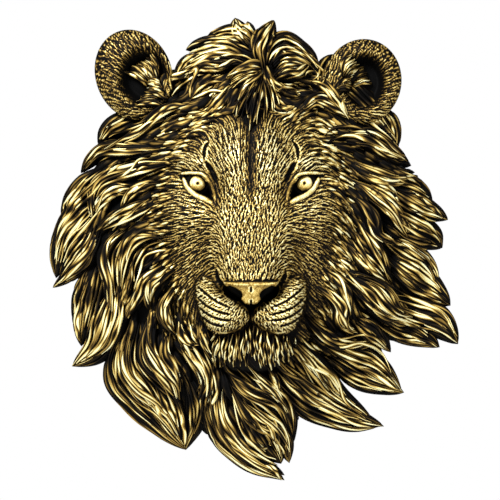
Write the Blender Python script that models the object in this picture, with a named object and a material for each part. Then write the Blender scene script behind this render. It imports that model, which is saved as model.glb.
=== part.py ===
"""A lion's head wall sculpture: one resin casting with a flat back and a keyhole pocket to hang it by.

The head is laid out on a square sheet 500 steps a side, across and down from the sheet's top left corner.
The mount, on the flat back behind the bridge of the nose, is the origin. +X is to the right of someone
looking at the face, +Z is up, and the head stands out from the wall towards -Y.
"""

import math

import bmesh
import bpy
import numpy as np

MM = 0.001

# Driving sizes
HEIGHT = 300 * MM
LAYOUT_HEIGHT = 463
STEP = HEIGHT / LAYOUT_HEIGHT
MOUNT_ACROSS = 250
MOUNT_DOWN = 200

# The dome that carries the mane: its rim, in steps from its centre, every 20 degrees clockwise from the top
DOME_CENTRE = (250, 235)
DOME_RIM = (198, 182, 175, 166, 172, 172, 172, 166, 176, 205, 186, 192, 176, 174, 178, 166, 170, 181)
DOME_EDGE = 9 * MM
DOME_RISE = 41 * MM
DOME_POWER = 2.4
WALL_SLOPE = 6.4
NORMAL_REACH = 4.0
STEEPEST = 0.8

# The face stands on the dome. A form's foot is blended in as far out as this share of its reach
FACE_CENTRE = (251, 180)
FACE_REACH = (100, 125)
FACE_RISE = 14 * MM
HILL_FALL = 1.2
FOOT = -0.3

# The bridge of the nose, down the face: what it adds, in mm, and its half width, in steps
BRIDGE_DOWN = (95, 120, 150, 180, 205, 230, 255, 272, 282)
BRIDGE_RISE = (0, 2, 4, 5, 7.5, 12, 17, 22, 26)
BRIDGE_HALF = (16, 18, 22, 28, 33, 37, 34, 31, 30)
BRIDGE_FLATNESS = 4
BRIDGE_END = (282, 300)

# Rounded forms of each half of the face: rise in mm, centre (out from the axis, down), reach, turn in degrees
FACE_FORMS = {
    "brow_lobe": (3.5, (19, 154), (17, 27), 0),
    "brow_ridge": (5.0, (60, 163), (30, 12), -10),
    "socket": (-4.5, (51, 189), (24, 15), -25),
    "inner_corner": (-3.5, (36, 200), (8, 16), -20),
    "brow_fold": (-3.0, (38, 172), (5, 16), 25),
    "cheek": (5.5, (72, 216), (28, 24), 0),
    "hollow_by_bridge": (-3.5, (50, 248), (12, 24), 0),
}

# Grooves on the face's axis: depth in mm, half width in steps, and where each fades in and out, down the face
FURROW = (3.0, 4, (100, 125), (180, 215))
PARTING = (4.0, 2.5, (301, 306), (318, 328))

# Each eye: its opening, in steps out from the face's axis and down the sheet, and its ball
EYE_OPENING = (
    (67.5, 176.5), (59, 176), (49, 178), (42, 185), (38.5, 194),
    (37, 204), (45, 200.5), (55, 196.5), (63.5, 188),
)
EYE_CENTRE = (52.3, 184.6)
EYE_RADIUS = 15
EYE_FRONT = 53.7 * MM
LID_RISE = 2.4 * MM
LID_WIDTH = 3.2
LID_MIDDLE = 1.9

# Muzzle pads: outline out from the axis and down, the width that their rounded edge takes, in steps, how much
# of their fullness is in their middle, and how far they stand off the wall
PAD_OUTLINE = (
    (37, 278), (28, 289), (15, 297.5), (5, 306), (0, 314), (2, 323), (13, 332),
    (25, 334), (35, 333), (43, 327), (50, 312), (54.5, 295), (54, 281), (47, 275),
)
PAD_ROUNDING = 13
PAD_MIDDLE = (0.22, (29, 306), (24, 24), 0)
PAD_FRONT = 78 * MM
PAD_EDGE = 47 * MM
PAD_PARTING = (1.5 * MM, 7)
PAD_BLEND = 2.5 * MM

# Chin: centre out from the axis and down, reach, turn, and how far it stands off the wall
CHIN = ((0, 337), (38, 34), 0)
CHIN_POWER = 2.4
CHIN_FRONT = 60 * MM
CHIN_EDGE = 41 * MM
CHIN_BLEND = 5 * MM

# Nose leather: half width down the sheet, in steps, and how far its top and bottom stand off the wall.
# It fades in over its first steps, out over its last ones, and at its sides
NOSE_DOWN = (278, 282, 290, 298, 304)
NOSE_HALF = (27, 29, 23, 12, 5)
NOSE_TOP = 83 * MM
NOSE_BOTTOM = 76 * MM
NOSE_FADE_IN = (1, 4)
NOSE_FADE_OUT = (-3, 2)
NOSE_FADE_SIDE = (-1, 2)
NOSTRIL = ((17.5, 292.5), (9.6, 6.4), -30)
NOSTRIL_POWER = 2.6
NOSTRIL_WALL = (-0.05, 0.5)
NOSTRIL_DEPTH = 9 * MM

# Each lock: four points of its spine (across, down) from root to tip, its full width in steps, its layer
LOCKS = (
    # Left side of the mane, from the ear down
    ("left_ear_roll", (155, 116), (134, 122), (114, 128), (101, 142), 26, 1),
    ("left_brow_sweep", (195, 108), (165, 113), (140, 134), (116, 148), 13, 3),
    ("left_temple_sweep", (168, 150), (132, 151), (102, 152), (84, 170), 18, 2),
    ("left_temple_tuft", (135, 160), (118, 166), (105, 177), (94, 192), 10, 1),
    ("left_long_curl", (176, 163), (138, 171), (99, 188), (97, 224), 15, 3),
    ("left_cheek_leaf", (140, 189), (118, 190), (104, 200), (96, 214), 16, 2),
    ("left_cheek_tuft", (163, 184), (146, 188), (134, 196), (126, 207), 12, 3),
    ("left_jaw_leaf", (160, 202), (140, 210), (120, 219), (98, 232), 18, 2),
    ("left_outer_1", (115, 165), (93, 183), (75, 202), (65, 219), 26, 1),
    ("left_outer_2", (106, 195), (84, 215), (66, 240), (57, 274), 32, 1),
    ("left_outer_3", (103, 222), (93, 247), (79, 267), (56, 285), 20, 2),
    ("left_outer_4", (104, 250), (93, 285), (86, 315), (82, 342), 32, 1),
    ("left_outer_5", (120, 280), (113, 315), (101, 345), (76, 364), 34, 2),
    ("left_base", (100, 215), (88, 240), (74, 258), (62, 274), 26, 1),
    ("left_ribbon", (135, 226), (108, 250), (111, 283), (113, 314), 13, 3),
    ("left_fall_1", (170, 233), (140, 237), (126, 258), (122, 292), 18, 2),
    ("left_fall_2", (170, 262), (149, 278), (141, 294), (128, 317), 14, 3),
    ("left_fall_3", (178, 268), (160, 278), (151, 290), (151, 306), 14, 3),
    ("left_jowl_tuft", (178, 284), (166, 303), (167, 318), (176, 331), 13, 3),
    # The great S-shaped locks below the left jowl
    ("left_great_1", (128, 318), (117, 372), (143, 410), (183, 447), 26, 1),
    ("left_great_2", (138, 312), (128, 362), (152, 398), (184, 446), 26, 2),
    ("left_great_3", (156, 306), (150, 350), (172, 380), (180, 405), 22, 3),
    ("left_great_4", (172, 322), (166, 350), (177, 372), (181, 392), 14, 2),
    ("left_great_5", (180, 362), (194, 392), (196, 418), (187, 446), 22, 1),
    ("left_great_base", (150, 360), (166, 396), (175, 418), (182, 442), 34, 1),
    # Beard below the chin
    ("beard_curl_left", (181, 316), (184, 334), (190, 342), (200, 343), 11, 3),
    ("beard_curl_mid", (203, 318), (204, 332), (208, 344), (214, 356), 12, 3),
    ("beard_left_1", (178, 333), (194, 354), (206, 374), (206, 404), 18, 2),
    ("beard_left_2", (208, 350), (211, 382), (205, 405), (212, 428), 24, 1),
    ("beard_great_1", (218, 350), (217, 410), (239, 451), (281, 478), 30, 1),
    ("beard_great_2", (222, 368), (221, 418), (246, 450), (281, 473), 20, 2),
    ("beard_great_3", (226, 372), (252, 414), (279, 432), (288, 459), 26, 2),
    ("beard_great_4", (222, 352), (248, 383), (281, 402), (292, 440), 30, 1),
    ("beard_base", (238, 392), (256, 420), (268, 440), (279, 460), 44, 1),
    ("beard_tongue_1", (246, 362), (262, 379), (277, 394), (288, 415), 14, 3),
    ("beard_tongue_2", (266, 362), (272, 374), (277, 384), (279, 396), 9, 3),
    # Right of the chin
    ("right_great_1", (268, 352), (298, 384), (334, 407), (380, 425), 26, 2),
    ("right_great_2", (272, 372), (300, 397), (338, 416), (374, 426), 30, 1),
    ("right_great_3", (284, 330), (313, 364), (335, 392), (371, 420), 24, 2),
    ("right_great_4", (312, 336), (345, 352), (376, 365), (399, 388), 24, 2),
    ("right_great_5", (322, 352), (348, 369), (374, 382), (400, 391), 26, 1),
    ("right_jowl_ribbon", (302, 312), (324, 334), (346, 344), (376, 340), 14, 3),
    ("right_jowl_curl", (314, 284), (338, 303), (340, 322), (357, 332), 14, 3),
    ("right_jowl_tuft", (326, 272), (342, 288), (346, 302), (351, 318), 11, 3),
    ("right_fan_1", (348, 314), (363, 325), (376, 334), (388, 349), 22, 2),
    # Right side of the mane, from the bottom up
    ("right_outer_1", (372, 296), (407, 311), (438, 322), (455, 341), 35, 1),
    ("right_outer_2", (362, 305), (394, 325), (418, 334), (436, 345), 28, 1),
    ("right_leaf_1", (340, 272), (372, 290), (392, 312), (415, 318), 32, 3),
    ("right_leaf_2", (342, 240), (362, 260), (376, 271), (388, 283), 18, 3),
    ("right_outer_3", (376, 250), (404, 272), (430, 290), (447, 303), 34, 1),
    ("right_outer_4", (376, 234), (403, 250), (424, 264), (435, 282), 24, 1),
    ("right_outer_5", (378, 208), (408, 228), (428, 237), (439, 245), 34, 1),
    ("right_outer_6", (376, 182), (405, 199), (425, 209), (444, 218), 26, 2),
    ("right_outer_7", (372, 168), (397, 181), (415, 189), (429, 198), 22, 1),
    ("right_long_leaf", (346, 180), (376, 200), (393, 215), (408, 239), 18, 3),
    ("right_short_leaf", (358, 178), (378, 186), (391, 194), (399, 207), 14, 2),
    ("right_ribbon_1", (346, 194), (368, 214), (376, 236), (406, 248), 14, 3),
    ("right_ribbon_2", (352, 218), (370, 242), (379, 257), (386, 272), 13, 2),
    ("right_temple_1", (340, 160), (366, 174), (392, 182), (414, 177), 19, 3),
    ("right_temple_2", (334, 140), (366, 140), (388, 154), (405, 161), 24, 2),
    ("right_ear_ridge", (322, 74), (346, 92), (374, 118), (396, 143), 32, 2),
    ("right_ear_roll", (370, 108), (385, 118), (392, 130), (395, 146), 18, 1),
    # Crown
    ("crown_right_peak", (264, 76), (260, 52), (266, 36), (272, 24), 23, 2),
    ("crown_left_peak", (262, 58), (246, 36), (238, 30), (236, 22), 24, 1),
    ("crown_left_1", (258, 50), (240, 37), (224, 36), (208, 39), 20, 1),
    ("crown_left_2", (252, 60), (229, 46), (208, 44), (190, 49), 17, 2),
    ("crown_left_3", (256, 72), (230, 58), (205, 60), (180, 70), 22, 2),
    ("crown_left_root", (204, 58), (195, 64), (186, 70), (178, 80), 22, 1),
    ("crown_curl_1", (206, 68), (184, 76), (166, 82), (167, 100), 11, 3),
    ("crown_curl_2", (246, 66), (218, 68), (198, 70), (191, 96), 16, 3),
    ("crown_forelock_1", (264, 70), (252, 68), (240, 74), (229, 82), 11, 3),
    ("crown_forelock_2", (264, 70), (256, 84), (246, 94), (238, 118), 13, 3),
    ("crown_forelock_3", (264, 70), (262, 92), (254, 108), (250, 132), 13, 2),
    ("crown_forelock_4", (264, 68), (266, 80), (272, 88), (284, 96), 11, 3),
    ("crown_right_1", (266, 70), (280, 46), (299, 53), (316, 66), 27, 1),
    ("crown_right_2", (266, 74), (284, 58), (304, 62), (326, 82), 20, 2),
    ("crown_right_3", (272, 84), (286, 74), (298, 72), (309, 64), 20, 3),
    ("crown_right_4", (302, 80), (322, 86), (336, 102), (348, 121), 16, 3),
    ("crown_right_root", (340, 58), (330, 64), (323, 76), (318, 90), 20, 1),
    ("crown_brow_right", (296, 116), (314, 103), (330, 107), (348, 119), 15, 3),
)

# How a lock lies: what it gains over the dome with each layer, and its least depth off the wall
LAYER_LIFT = 3.4 * MM
LOCK_WALL_DEPTH = 7 * MM
LOCK_ROOT_SINK = 3 * MM
LOCK_THICKNESS = 3 * MM
LOCK_ROUNDNESS = 0.55
LOCK_FULLNESS = 1.12
LOCK_WIDEST = 0.42
LOCK_TIP_WIDTH = 6
LOCK_TIP_RUN = 4.5
LOCK_TIP_THICKNESS = 2.2 * MM
LOCK_AROUND = 16
LOCK_ALONG = 22
LOCK_CAPS = (0.06, 0.04)

# Its spine is worked out at this many stations and smoothed by these passes. It arches between its ends,
# and it is narrower at its root, whose share of the length is given, than where it is widest
LOCK_STATIONS = 61
LOCK_SMOOTHING = 12
LOCK_ARCH_START = 0.15
LOCK_ARCH_POWER = 0.6
LOCK_ROOT_REACH = 0.35
LOCK_ROOT_WIDTH = 0.5
LOCK_TAPER = (2.1, 0.85)

# The broad strands on its front: their width in steps, how deep they are cut as a share of the thickness,
# how sharp their valleys are, and how far the pattern shifts from layer to layer
STRAND_WIDTH = 7
STRAND_CUT = 0.28
STRAND_POWER = 0.7
STRAND_SHIFT = 0.6

# Ears: centre (across, down), half width, half height in steps, lean in degrees
EARS = (("left", (137, 77), 41, 47, 12), ("right", (362.5, 82.5), 40.5, 44.5, -14))
EAR_DEPTH = 20 * MM
EAR_HALF_THICKNESS = 12 * MM
EAR_DISH = 15 * MM
EAR_BACK = 1.8
EAR_ROUNDING = 0.7
EAR_HOLLOW = (0.30, 0.68)
EAR_HOLLOW_DROP = 0.12
EAR_AROUND = 28
EAR_ALONG = 20

# Hanging pocket in the back, a keyhole for a screw with an 8 mm head
POCKET_RISE = 14 * MM
POCKET_ENTRY_RADIUS = 5.5 * MM
POCKET_SLOT_WIDTH = 5 * MM
POCKET_SLOT_RUN = 12 * MM
POCKET_DEPTH = 10 * MM
POCKET_OVERRUN = 4 * MM
POCKET_TURNS = 10

# Meshing: the block's half side and its centre below the dome's, in steps, and how far it runs into the wall
BLOCK_HALF = 235
BLOCK_DROP = 15
BLOCK_BEHIND = 12 * MM
BACK_ALLOWANCE = 9 * MM
SHEET_CELL = 1.6 * MM
VOXEL = 1.3 * MM
EASE_FACTOR = 0.5
EASE_PASSES = 2
TRIANGLES = 9600

# The cube that cuts the back flat, and its middle's height
CUTTER_SIDE = 0.5
CUTTER_HEIGHT = -0.04

GOLD = (0.45, 0.30, 0.09, 1.0)
GOLD_ROUGHNESS = 0.42
GOLD_METALLIC = 0.7


def to_x(across):
    """Metres to the right of the mount."""
    return (across - MOUNT_ACROSS) * STEP


def to_z(down):
    """Metres above the mount."""
    return (MOUNT_DOWN - down) * STEP


def curve_through(points, share):
    """Points on a smooth curve through the given ones, at shares 0 to 1 of its length in spans."""
    points = np.asarray(points, float)
    padded = np.vstack([2 * points[0] - points[1], points, 2 * points[-1] - points[-2]])
    place = np.clip(np.asarray(share, float), 0, 1) * (len(points) - 1)
    span = np.minimum(place.astype(int), len(points) - 2)
    t = (place - span)[..., None]
    before, start, end, after = (padded[span + k] for k in range(4))
    return 0.5 * (
        2 * start
        + (end - before) * t
        + (2 * before - 5 * start + 4 * end - after) * t**2
        + (3 * start - before - 3 * end + after) * t**3
    )


def turned(across, down, centre, reach, turn):
    """Places measured from a centre along turned axes, as shares of a reach."""
    c, s = math.cos(math.radians(turn)), math.sin(math.radians(turn))
    u, v = across - centre[0], down - centre[1]
    return (c * u + s * v) / reach[0], (c * v - s * u) / reach[1]


def hill(across, down, centre, reach, turn):
    """A rounded hill, 1 at its centre and fading out past its reach."""
    p, q = turned(across, down, centre, reach, turn)
    return np.exp(-(p**2 + q**2) * HILL_FALL)


def cushion(across, down, centre, reach, turn, power):
    """A full, cushion-like swelling: 1 at its centre, 0 at its edge and below 0 outside."""
    p, q = turned(across, down, centre, reach, turn)
    r = np.abs(p) ** power + np.abs(q) ** power
    return np.where(r < 1, np.sqrt(np.clip(1 - r, 0, 1)), 1 - r)


def ease(value, low, high):
    """0 below low, 1 above high and a smooth change between."""
    t = np.clip((value - low) / (high - low), 0, 1)
    return t * t * (3 - 2 * t)


def rim_radius(angle):
    """The dome's rim, in steps, at an angle clockwise from the top, in radians."""
    rim = np.array(DOME_RIM, float)
    place = (np.asarray(angle) / (2 * math.pi)) % 1 * len(rim)
    i = place.astype(int) % len(rim)
    t = place - np.floor(place)
    before, start = rim[i - 1], rim[i]
    end, after = rim[(i + 1) % len(rim)], rim[(i + 2) % len(rim)]
    return 0.5 * (
        2 * start
        + (end - before) * t
        + (2 * before - 5 * start + 4 * end - after) * t**2
        + (3 * start - before - 3 * end + after) * t**3
    )


def dome_depth(across, down):
    """How far the mane's dome stands off the wall. Past its rim it falls away behind the wall."""
    u, v = across - DOME_CENTRE[0], down - DOME_CENTRE[1]
    radius = np.hypot(u, v)
    rim = rim_radius(np.arctan2(u, -v))
    share = radius / rim
    inside = DOME_EDGE + DOME_RISE * (1 - np.clip(share, 0, 1) ** DOME_POWER)
    return np.where(share < 1, inside, DOME_EDGE - (radius - rim) * STEP * WALL_SLOPE)


def blend_up(one, other, width):
    """The greater of two depths, with the corner between them rounded."""
    return (one + other + np.sqrt((one - other) ** 2 + width**2)) / 2


def form(side, down, rise, centre, reach, turn):
    """One of the face's rounded forms, in metres."""
    return rise * MM * hill(side, down, centre, reach, turn)


def groove(side, down, depth, half, fade_in, fade_out):
    """A groove on the face's axis, in metres."""
    along = ease(down, *fade_in) * (1 - ease(down, *fade_out))
    return depth * MM * np.exp(-((side / half) ** 2)) * along


def face_depth(across, down):
    """What the face adds to the dome: forehead, bridge, brows, sockets and cheeks."""
    side = np.abs(across - FACE_CENTRE[0])
    p = side / FACE_REACH[0]
    q = (down - FACE_CENTRE[1]) / FACE_REACH[1]
    added = FACE_RISE * np.clip(1 - p**2 - q**2, 0, 1)
    rise = np.interp(down, BRIDGE_DOWN, BRIDGE_RISE) * MM * (1 - ease(down, *BRIDGE_END))
    added = added + rise / (1 + (side / np.interp(down, BRIDGE_DOWN, BRIDGE_HALF)) ** BRIDGE_FLATNESS)
    for row in FACE_FORMS.values():
        added = added + form(side, down, *row)
    return added - groove(side, down, *FURROW)


def outside(side, down, outline):
    """Steps outside a closed outline, and below 0 inside it."""
    nearest = np.full(np.shape(side), 1e9)
    inside = np.zeros(np.shape(side), bool)
    for (a0, b0), (a1, b1) in zip(outline, outline[1:] + outline[:1]):
        run, drop = a1 - a0, b1 - b0
        share = np.clip(((side - a0) * run + (down - b0) * drop) / (run**2 + drop**2), 0, 1)
        nearest = np.minimum(nearest, np.hypot(side - a0 - share * run, down - b0 - share * drop))
        if drop:
            crosses = ((b0 > down) != (b1 > down)) & (side < a0 + (down - b0) * run / drop)
            inside = inside ^ crosses
    return np.where(inside, -nearest, nearest)


def pad_fullness(side, down):
    """How full a muzzle pad is: 1 at its middle, 0 at its edge and below 0 outside."""
    share = -outside(side, down, PAD_OUTLINE) / PAD_ROUNDING
    middle, *place = PAD_MIDDLE
    full = np.sqrt(1 - (1 - np.clip(share, 0, 1)) ** 2) * (1 - middle + middle * hill(side, down, *place))
    return np.where(share > 0, full, share)


def head_depth(across, down):
    """The whole head without its locks and ears, in metres off the wall."""
    side = np.abs(across - FACE_CENTRE[0])
    depth = dome_depth(across, down) + face_depth(across, down)
    # Eyes: a ball in each opening, and the lids round it
    off_eye = outside(side, down, EYE_OPENING)
    depth = depth + LID_RISE * np.exp(-(((off_eye - LID_MIDDLE) / LID_WIDTH) ** 2))
    reach = np.hypot(side - EYE_CENTRE[0], down - EYE_CENTRE[1])
    ball = EYE_FRONT - STEP * (EYE_RADIUS - np.sqrt(np.clip(EYE_RADIUS**2 - reach**2, 0, None)))
    depth = np.where(off_eye < 0, np.minimum(depth, ball), depth)
    # Chin, then the muzzle pads over it, one each side of the parting below the nose
    chin = cushion(side, down, *CHIN, CHIN_POWER)
    full = CHIN_EDGE + (CHIN_FRONT - CHIN_EDGE) * chin
    depth = np.where(chin > FOOT, blend_up(depth, full, CHIN_BLEND), depth)
    pad = pad_fullness(side, down)
    full = PAD_EDGE + (PAD_FRONT - PAD_EDGE) * pad - PAD_PARTING[0] * ease(side, PAD_PARTING[1], 0)
    depth = np.where(pad > FOOT, blend_up(depth, full, PAD_BLEND), depth)
    # Nose leather, with its nostrils, and the parting below it
    past_half = side - np.interp(down, NOSE_DOWN, NOSE_HALF)
    leather = ease(down - NOSE_DOWN[0], *NOSE_FADE_IN) * (1 - ease(down - NOSE_DOWN[-1], *NOSE_FADE_OUT))
    leather = leather * (1 - ease(past_half, *NOSE_FADE_SIDE))
    nose = np.interp(down, (NOSE_DOWN[0], NOSE_DOWN[-1]), (NOSE_TOP, NOSE_BOTTOM))
    depth = np.where(leather > 0, np.maximum(depth, depth + (nose - depth) * leather), depth)
    depth = depth - NOSTRIL_DEPTH * ease(cushion(side, down, *NOSTRIL, NOSTRIL_POWER), *NOSTRIL_WALL)
    return depth - groove(side, down, *PARTING)


def dome_normal(across, down):
    """The dome's outward direction, held back from turning past its slope near the rim."""
    reach = NORMAL_REACH
    slope_x = (dome_depth(across + reach, down) - dome_depth(across - reach, down)) / (2 * reach * STEP)
    slope_z = (dome_depth(across, down - reach) - dome_depth(across, down + reach)) / (2 * reach * STEP)
    steep = np.maximum(np.hypot(slope_x, slope_z) / STEEPEST, 1)
    normal = np.stack([-slope_x / steep, -np.ones_like(slope_x), -slope_z / steep], axis=-1)
    return normal / np.linalg.norm(normal, axis=-1, keepdims=True)


def mesh_from(bm, name):
    """A mesh datablock from a bmesh, which is freed."""
    mesh = bpy.data.meshes.new(name)
    bm.to_mesh(mesh)
    bm.free()
    return mesh


def link(name, mesh):
    """A new object in the scene."""
    made = bpy.data.objects.new(name, mesh)
    bpy.context.scene.collection.objects.link(made)
    return made


def ball_mesh(name, around, along):
    """A unit ball, its vertex places as an array: the stock that locks and ears are shaped from."""
    bm = bmesh.new()
    bmesh.ops.create_uvsphere(bm, u_segments=around, v_segments=along, radius=1)
    mesh = mesh_from(bm, name)
    places = np.empty(len(mesh.vertices) * 3, np.float32)
    mesh.vertices.foreach_get("co", places)
    return mesh, places.reshape(-1, 3).astype(float)


def smoothed(values, passes):
    """A row of values with its kinks eased."""
    for _ in range(passes):
        values[1:-1] = (values[:-2] + 2 * values[1:-1] + values[2:]) / 4
    return values


def lock_object(name, points, width, layer):
    """One lock: a ball drawn out along its spine into a flame, with broad strands along it."""
    mesh, ball = ball_mesh(name, LOCK_AROUND, LOCK_ALONG)
    share = np.arccos(np.clip(ball[:, 2], -1, 1)) / math.pi
    angle = np.arctan2(ball[:, 1], ball[:, 0])
    stations = np.linspace(0, 1, LOCK_STATIONS)
    last = np.subtract(points[-1], points[-2])
    tip = points[-1] + LOCK_TIP_RUN * last / np.hypot(*last)
    route = curve_through([*points[:-1], tip], stations)
    depth = np.maximum(dome_depth(route[:, 0], route[:, 1]), LOCK_WALL_DEPTH)
    turn = math.pi * (LOCK_ARCH_START + stations * (1 - LOCK_ARCH_START))
    arch = np.clip(np.sin(turn), 0, None) ** LOCK_ARCH_POWER
    sink = LOCK_ROOT_SINK * (1 - ease(stations, 0, LOCK_ROOT_REACH))
    depth = smoothed(depth, LOCK_SMOOTHING) + LAYER_LIFT * (layer - 1) * arch - sink
    spine = np.stack([to_x(route[:, 0]), -depth, to_z(route[:, 1])], axis=-1)
    along = np.gradient(spine, axis=0)
    along /= np.linalg.norm(along, axis=1, keepdims=True)
    out = dome_normal(route[:, 0], route[:, 1])
    across = np.cross(along, out)
    across /= np.linalg.norm(across, axis=1, keepdims=True)
    out = np.cross(across, along)
    half = LOCK_FULLNESS * width / 2 * STEP
    past = np.clip((stations - LOCK_WIDEST) / (1 - LOCK_WIDEST), 0, 1)
    rooted = LOCK_ROOT_WIDTH + (1 - LOCK_ROOT_WIDTH) * ease(stations, 0, LOCK_WIDEST)
    swell = np.where(past > 0, (1 - past ** LOCK_TAPER[0]) ** LOCK_TAPER[1], rooted)
    wide = np.maximum(half * swell, LOCK_TIP_WIDTH / 2 * STEP)
    thick = LOCK_ROUNDNESS * half * swell + LOCK_THICKNESS * np.clip(swell * 2, 0, 1)
    thick = np.maximum(thick, LOCK_TIP_THICKNESS)

    def at(table):
        """A row of the spine's values at each vertex."""
        return np.stack([np.interp(share, stations, column) for column in table.T], axis=-1)

    cap = np.clip(np.minimum(share / LOCK_CAPS[0], (1 - share) / LOCK_CAPS[1]), 0, 1) ** 0.5
    side = np.cos(angle) * cap
    front = np.sin(angle) * cap
    strands = max(1, round(width / STRAND_WIDTH))
    ridge = np.abs(np.cos(side * strands * math.pi / 2 + STRAND_SHIFT * layer)) ** STRAND_POWER
    front = np.where(front > 0, front * (1 - STRAND_CUT * (1 - ridge)), front)
    places = (
        at(spine)
        + at(across) * (side * np.interp(share, stations, wide))[:, None]
        + at(out) * (front * np.interp(share, stations, thick))[:, None]
    )
    mesh.vertices.foreach_set("co", places.astype(np.float32).ravel())
    return link(name, mesh)


def ear_object(side, centre, half_width, half_height, lean):
    """One ear: a thick rounded cup with its hollow to the front."""
    mesh, ball = ball_mesh("ear_" + side, EAR_AROUND, EAR_ALONG)
    thick = np.where(ball[:, 1] < 0, EAR_HALF_THICKNESS, EAR_HALF_THICKNESS * EAR_BACK)
    y = np.sign(ball[:, 1]) * np.abs(ball[:, 1]) ** EAR_ROUNDING * thick
    inner = np.hypot(ball[:, 0], ball[:, 2] + EAR_HOLLOW_DROP)
    y = y + np.where(ball[:, 1] < 0, EAR_DISH * (1 - ease(inner, *EAR_HOLLOW)), 0)
    x, z = ball[:, 0] * half_width * STEP, ball[:, 2] * half_height * STEP
    c, s = math.cos(math.radians(lean)), math.sin(math.radians(lean))
    places = np.stack(
        [to_x(centre[0]) + c * x - s * z, y - EAR_DEPTH, to_z(centre[1]) + s * x + c * z], axis=-1
    )
    mesh.vertices.foreach_set("co", places.astype(np.float32).ravel())
    return link("ear_" + side, mesh)


def head_object():
    """The head as a block: its modelled front, and a back behind the wall that is cut off later."""
    half = BLOCK_HALF * STEP
    cells = round(2 * half / SHEET_CELL)
    bm = bmesh.new()
    bmesh.ops.create_grid(bm, x_segments=cells, y_segments=cells, size=half)
    flat = np.array([v.co[:2] for v in bm.verts])
    across, down = DOME_CENTRE[0] + flat[:, 0] / STEP, DOME_CENTRE[1] + BLOCK_DROP - flat[:, 1] / STEP
    depth = np.maximum(head_depth(across, down), -BACK_ALLOWANCE)
    for v, x, y, z in zip(bm.verts, to_x(across), -depth, to_z(down)):
        v.co = (x, y, z)
    front = list(bm.faces)
    made = bmesh.ops.extrude_face_region(bm, geom=front)["geom"]
    for v in made:
        if isinstance(v, bmesh.types.BMVert):
            v.co.y = BLOCK_BEHIND
    bmesh.ops.recalc_face_normals(bm, faces=bm.faces)
    return link("head", mesh_from(bm, "head"))


def joined(objects, name):
    """The given objects as one."""
    for o in bpy.context.selected_objects:
        o.select_set(False)
    for o in objects:
        o.select_set(True)
    bpy.context.view_layer.objects.active = objects[0]
    bpy.ops.object.join()
    objects[0].name = name
    objects[0].data.name = name
    return objects[0]


def apply_modifiers(made):
    """Bakes the modifiers of an object into its mesh."""
    graph = bpy.context.evaluated_depsgraph_get()
    mesh = bpy.data.meshes.new_from_object(made.evaluated_get(graph))
    made.modifiers.clear()
    made.data = mesh


def cutter(name, mesh):
    """A helper that is not part of the casting."""
    made = link(name, mesh)
    made.hide_render = True
    made.display_type = "WIRE"
    return made


def wall_cutter():
    """Everything behind the wall."""
    bm = bmesh.new()
    bmesh.ops.create_cube(bm, size=CUTTER_SIDE)
    bmesh.ops.translate(bm, verts=bm.verts, vec=(0, CUTTER_SIDE / 2, CUTTER_HEIGHT))
    return cutter("wall_cutter", mesh_from(bm, "wall_cutter"))


def pocket_cutter():
    """The keyhole: a round entry for the screw's head and a narrower slot above it."""
    bm = bmesh.new()
    half = POCKET_SLOT_WIDTH / 2
    start = math.asin(half / POCKET_ENTRY_RADIUS)
    rim = []
    for i in range(2 * POCKET_TURNS + 1):
        turn = start + (2 * math.pi - 2 * start) * i / (2 * POCKET_TURNS)
        rim.append((POCKET_ENTRY_RADIUS * math.sin(turn), POCKET_ENTRY_RADIUS * math.cos(turn)))
    for i in range(POCKET_TURNS + 1):
        turn = -math.pi / 2 + math.pi * i / POCKET_TURNS
        rim.append((half * math.sin(turn), POCKET_SLOT_RUN + half * math.cos(turn)))
    face = bm.faces.new([bm.verts.new((x, -POCKET_DEPTH, POCKET_RISE + z)) for x, z in rim])
    made = bmesh.ops.extrude_face_region(bm, geom=[face])["geom"]
    moved = [v for v in made if isinstance(v, bmesh.types.BMVert)]
    bmesh.ops.translate(bm, verts=moved, vec=(0, POCKET_DEPTH + POCKET_OVERRUN, 0))
    bmesh.ops.recalc_face_normals(bm, faces=bm.faces)
    return cutter("pocket_cutter", mesh_from(bm, "pocket_cutter"))


def material(name, colour, roughness, metallic):
    """A plain finish."""
    made = bpy.data.materials.new(name)
    made.use_nodes = True
    shader = made.node_tree.nodes["Principled BSDF"]
    shader.inputs["Base Color"].default_value = colour
    shader.inputs["Roughness"].default_value = roughness
    shader.inputs["Metallic"].default_value = metallic
    return made


def main():
    """Builds the casting: its forms joined, fused, thinned to its triangles, and cut flat behind."""
    for old in list(bpy.data.objects):
        bpy.data.objects.remove(old, do_unlink=True)
    pieces = [head_object()]
    pieces += [ear_object(*row) for row in EARS]
    pieces += [lock_object(name, points, width, layer) for name, *points, width, layer in LOCKS]
    lion = joined(pieces, "lion_head")
    fuse = lion.modifiers.new("fuse", "REMESH")
    fuse.mode = "VOXEL"
    fuse.voxel_size = VOXEL
    apply_modifiers(lion)
    ease_steps = lion.modifiers.new("ease_steps", "SMOOTH")
    ease_steps.factor = EASE_FACTOR
    ease_steps.iterations = EASE_PASSES
    apply_modifiers(lion)
    thin = lion.modifiers.new("thin", "DECIMATE")
    thin.ratio = TRIANGLES / (2 * len(lion.data.polygons))
    apply_modifiers(lion)
    for made in (wall_cutter(), pocket_cutter()):
        cut = lion.modifiers.new(made.name, "BOOLEAN")
        cut.operation = "DIFFERENCE"
        cut.object = made
    lion.data.materials.clear()
    lion.data.materials.append(material("antiqued_gold_resin", GOLD, GOLD_ROUGHNESS, GOLD_METALLIC))


main()
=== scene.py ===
"""A lion's head wall sculpture: a resin casting, painted near black, with gold rubbed over its raised hair.

The head is laid out on a square sheet 500 steps a side, across and down from its top left corner. The mount,
on the flat back, is the origin. +X is to the right of someone looking at the face, and -Y is out of the wall.
"""

import logging
import math
from collections.abc import Callable, Iterable
from dataclasses import dataclass, field
from enum import Enum

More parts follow.
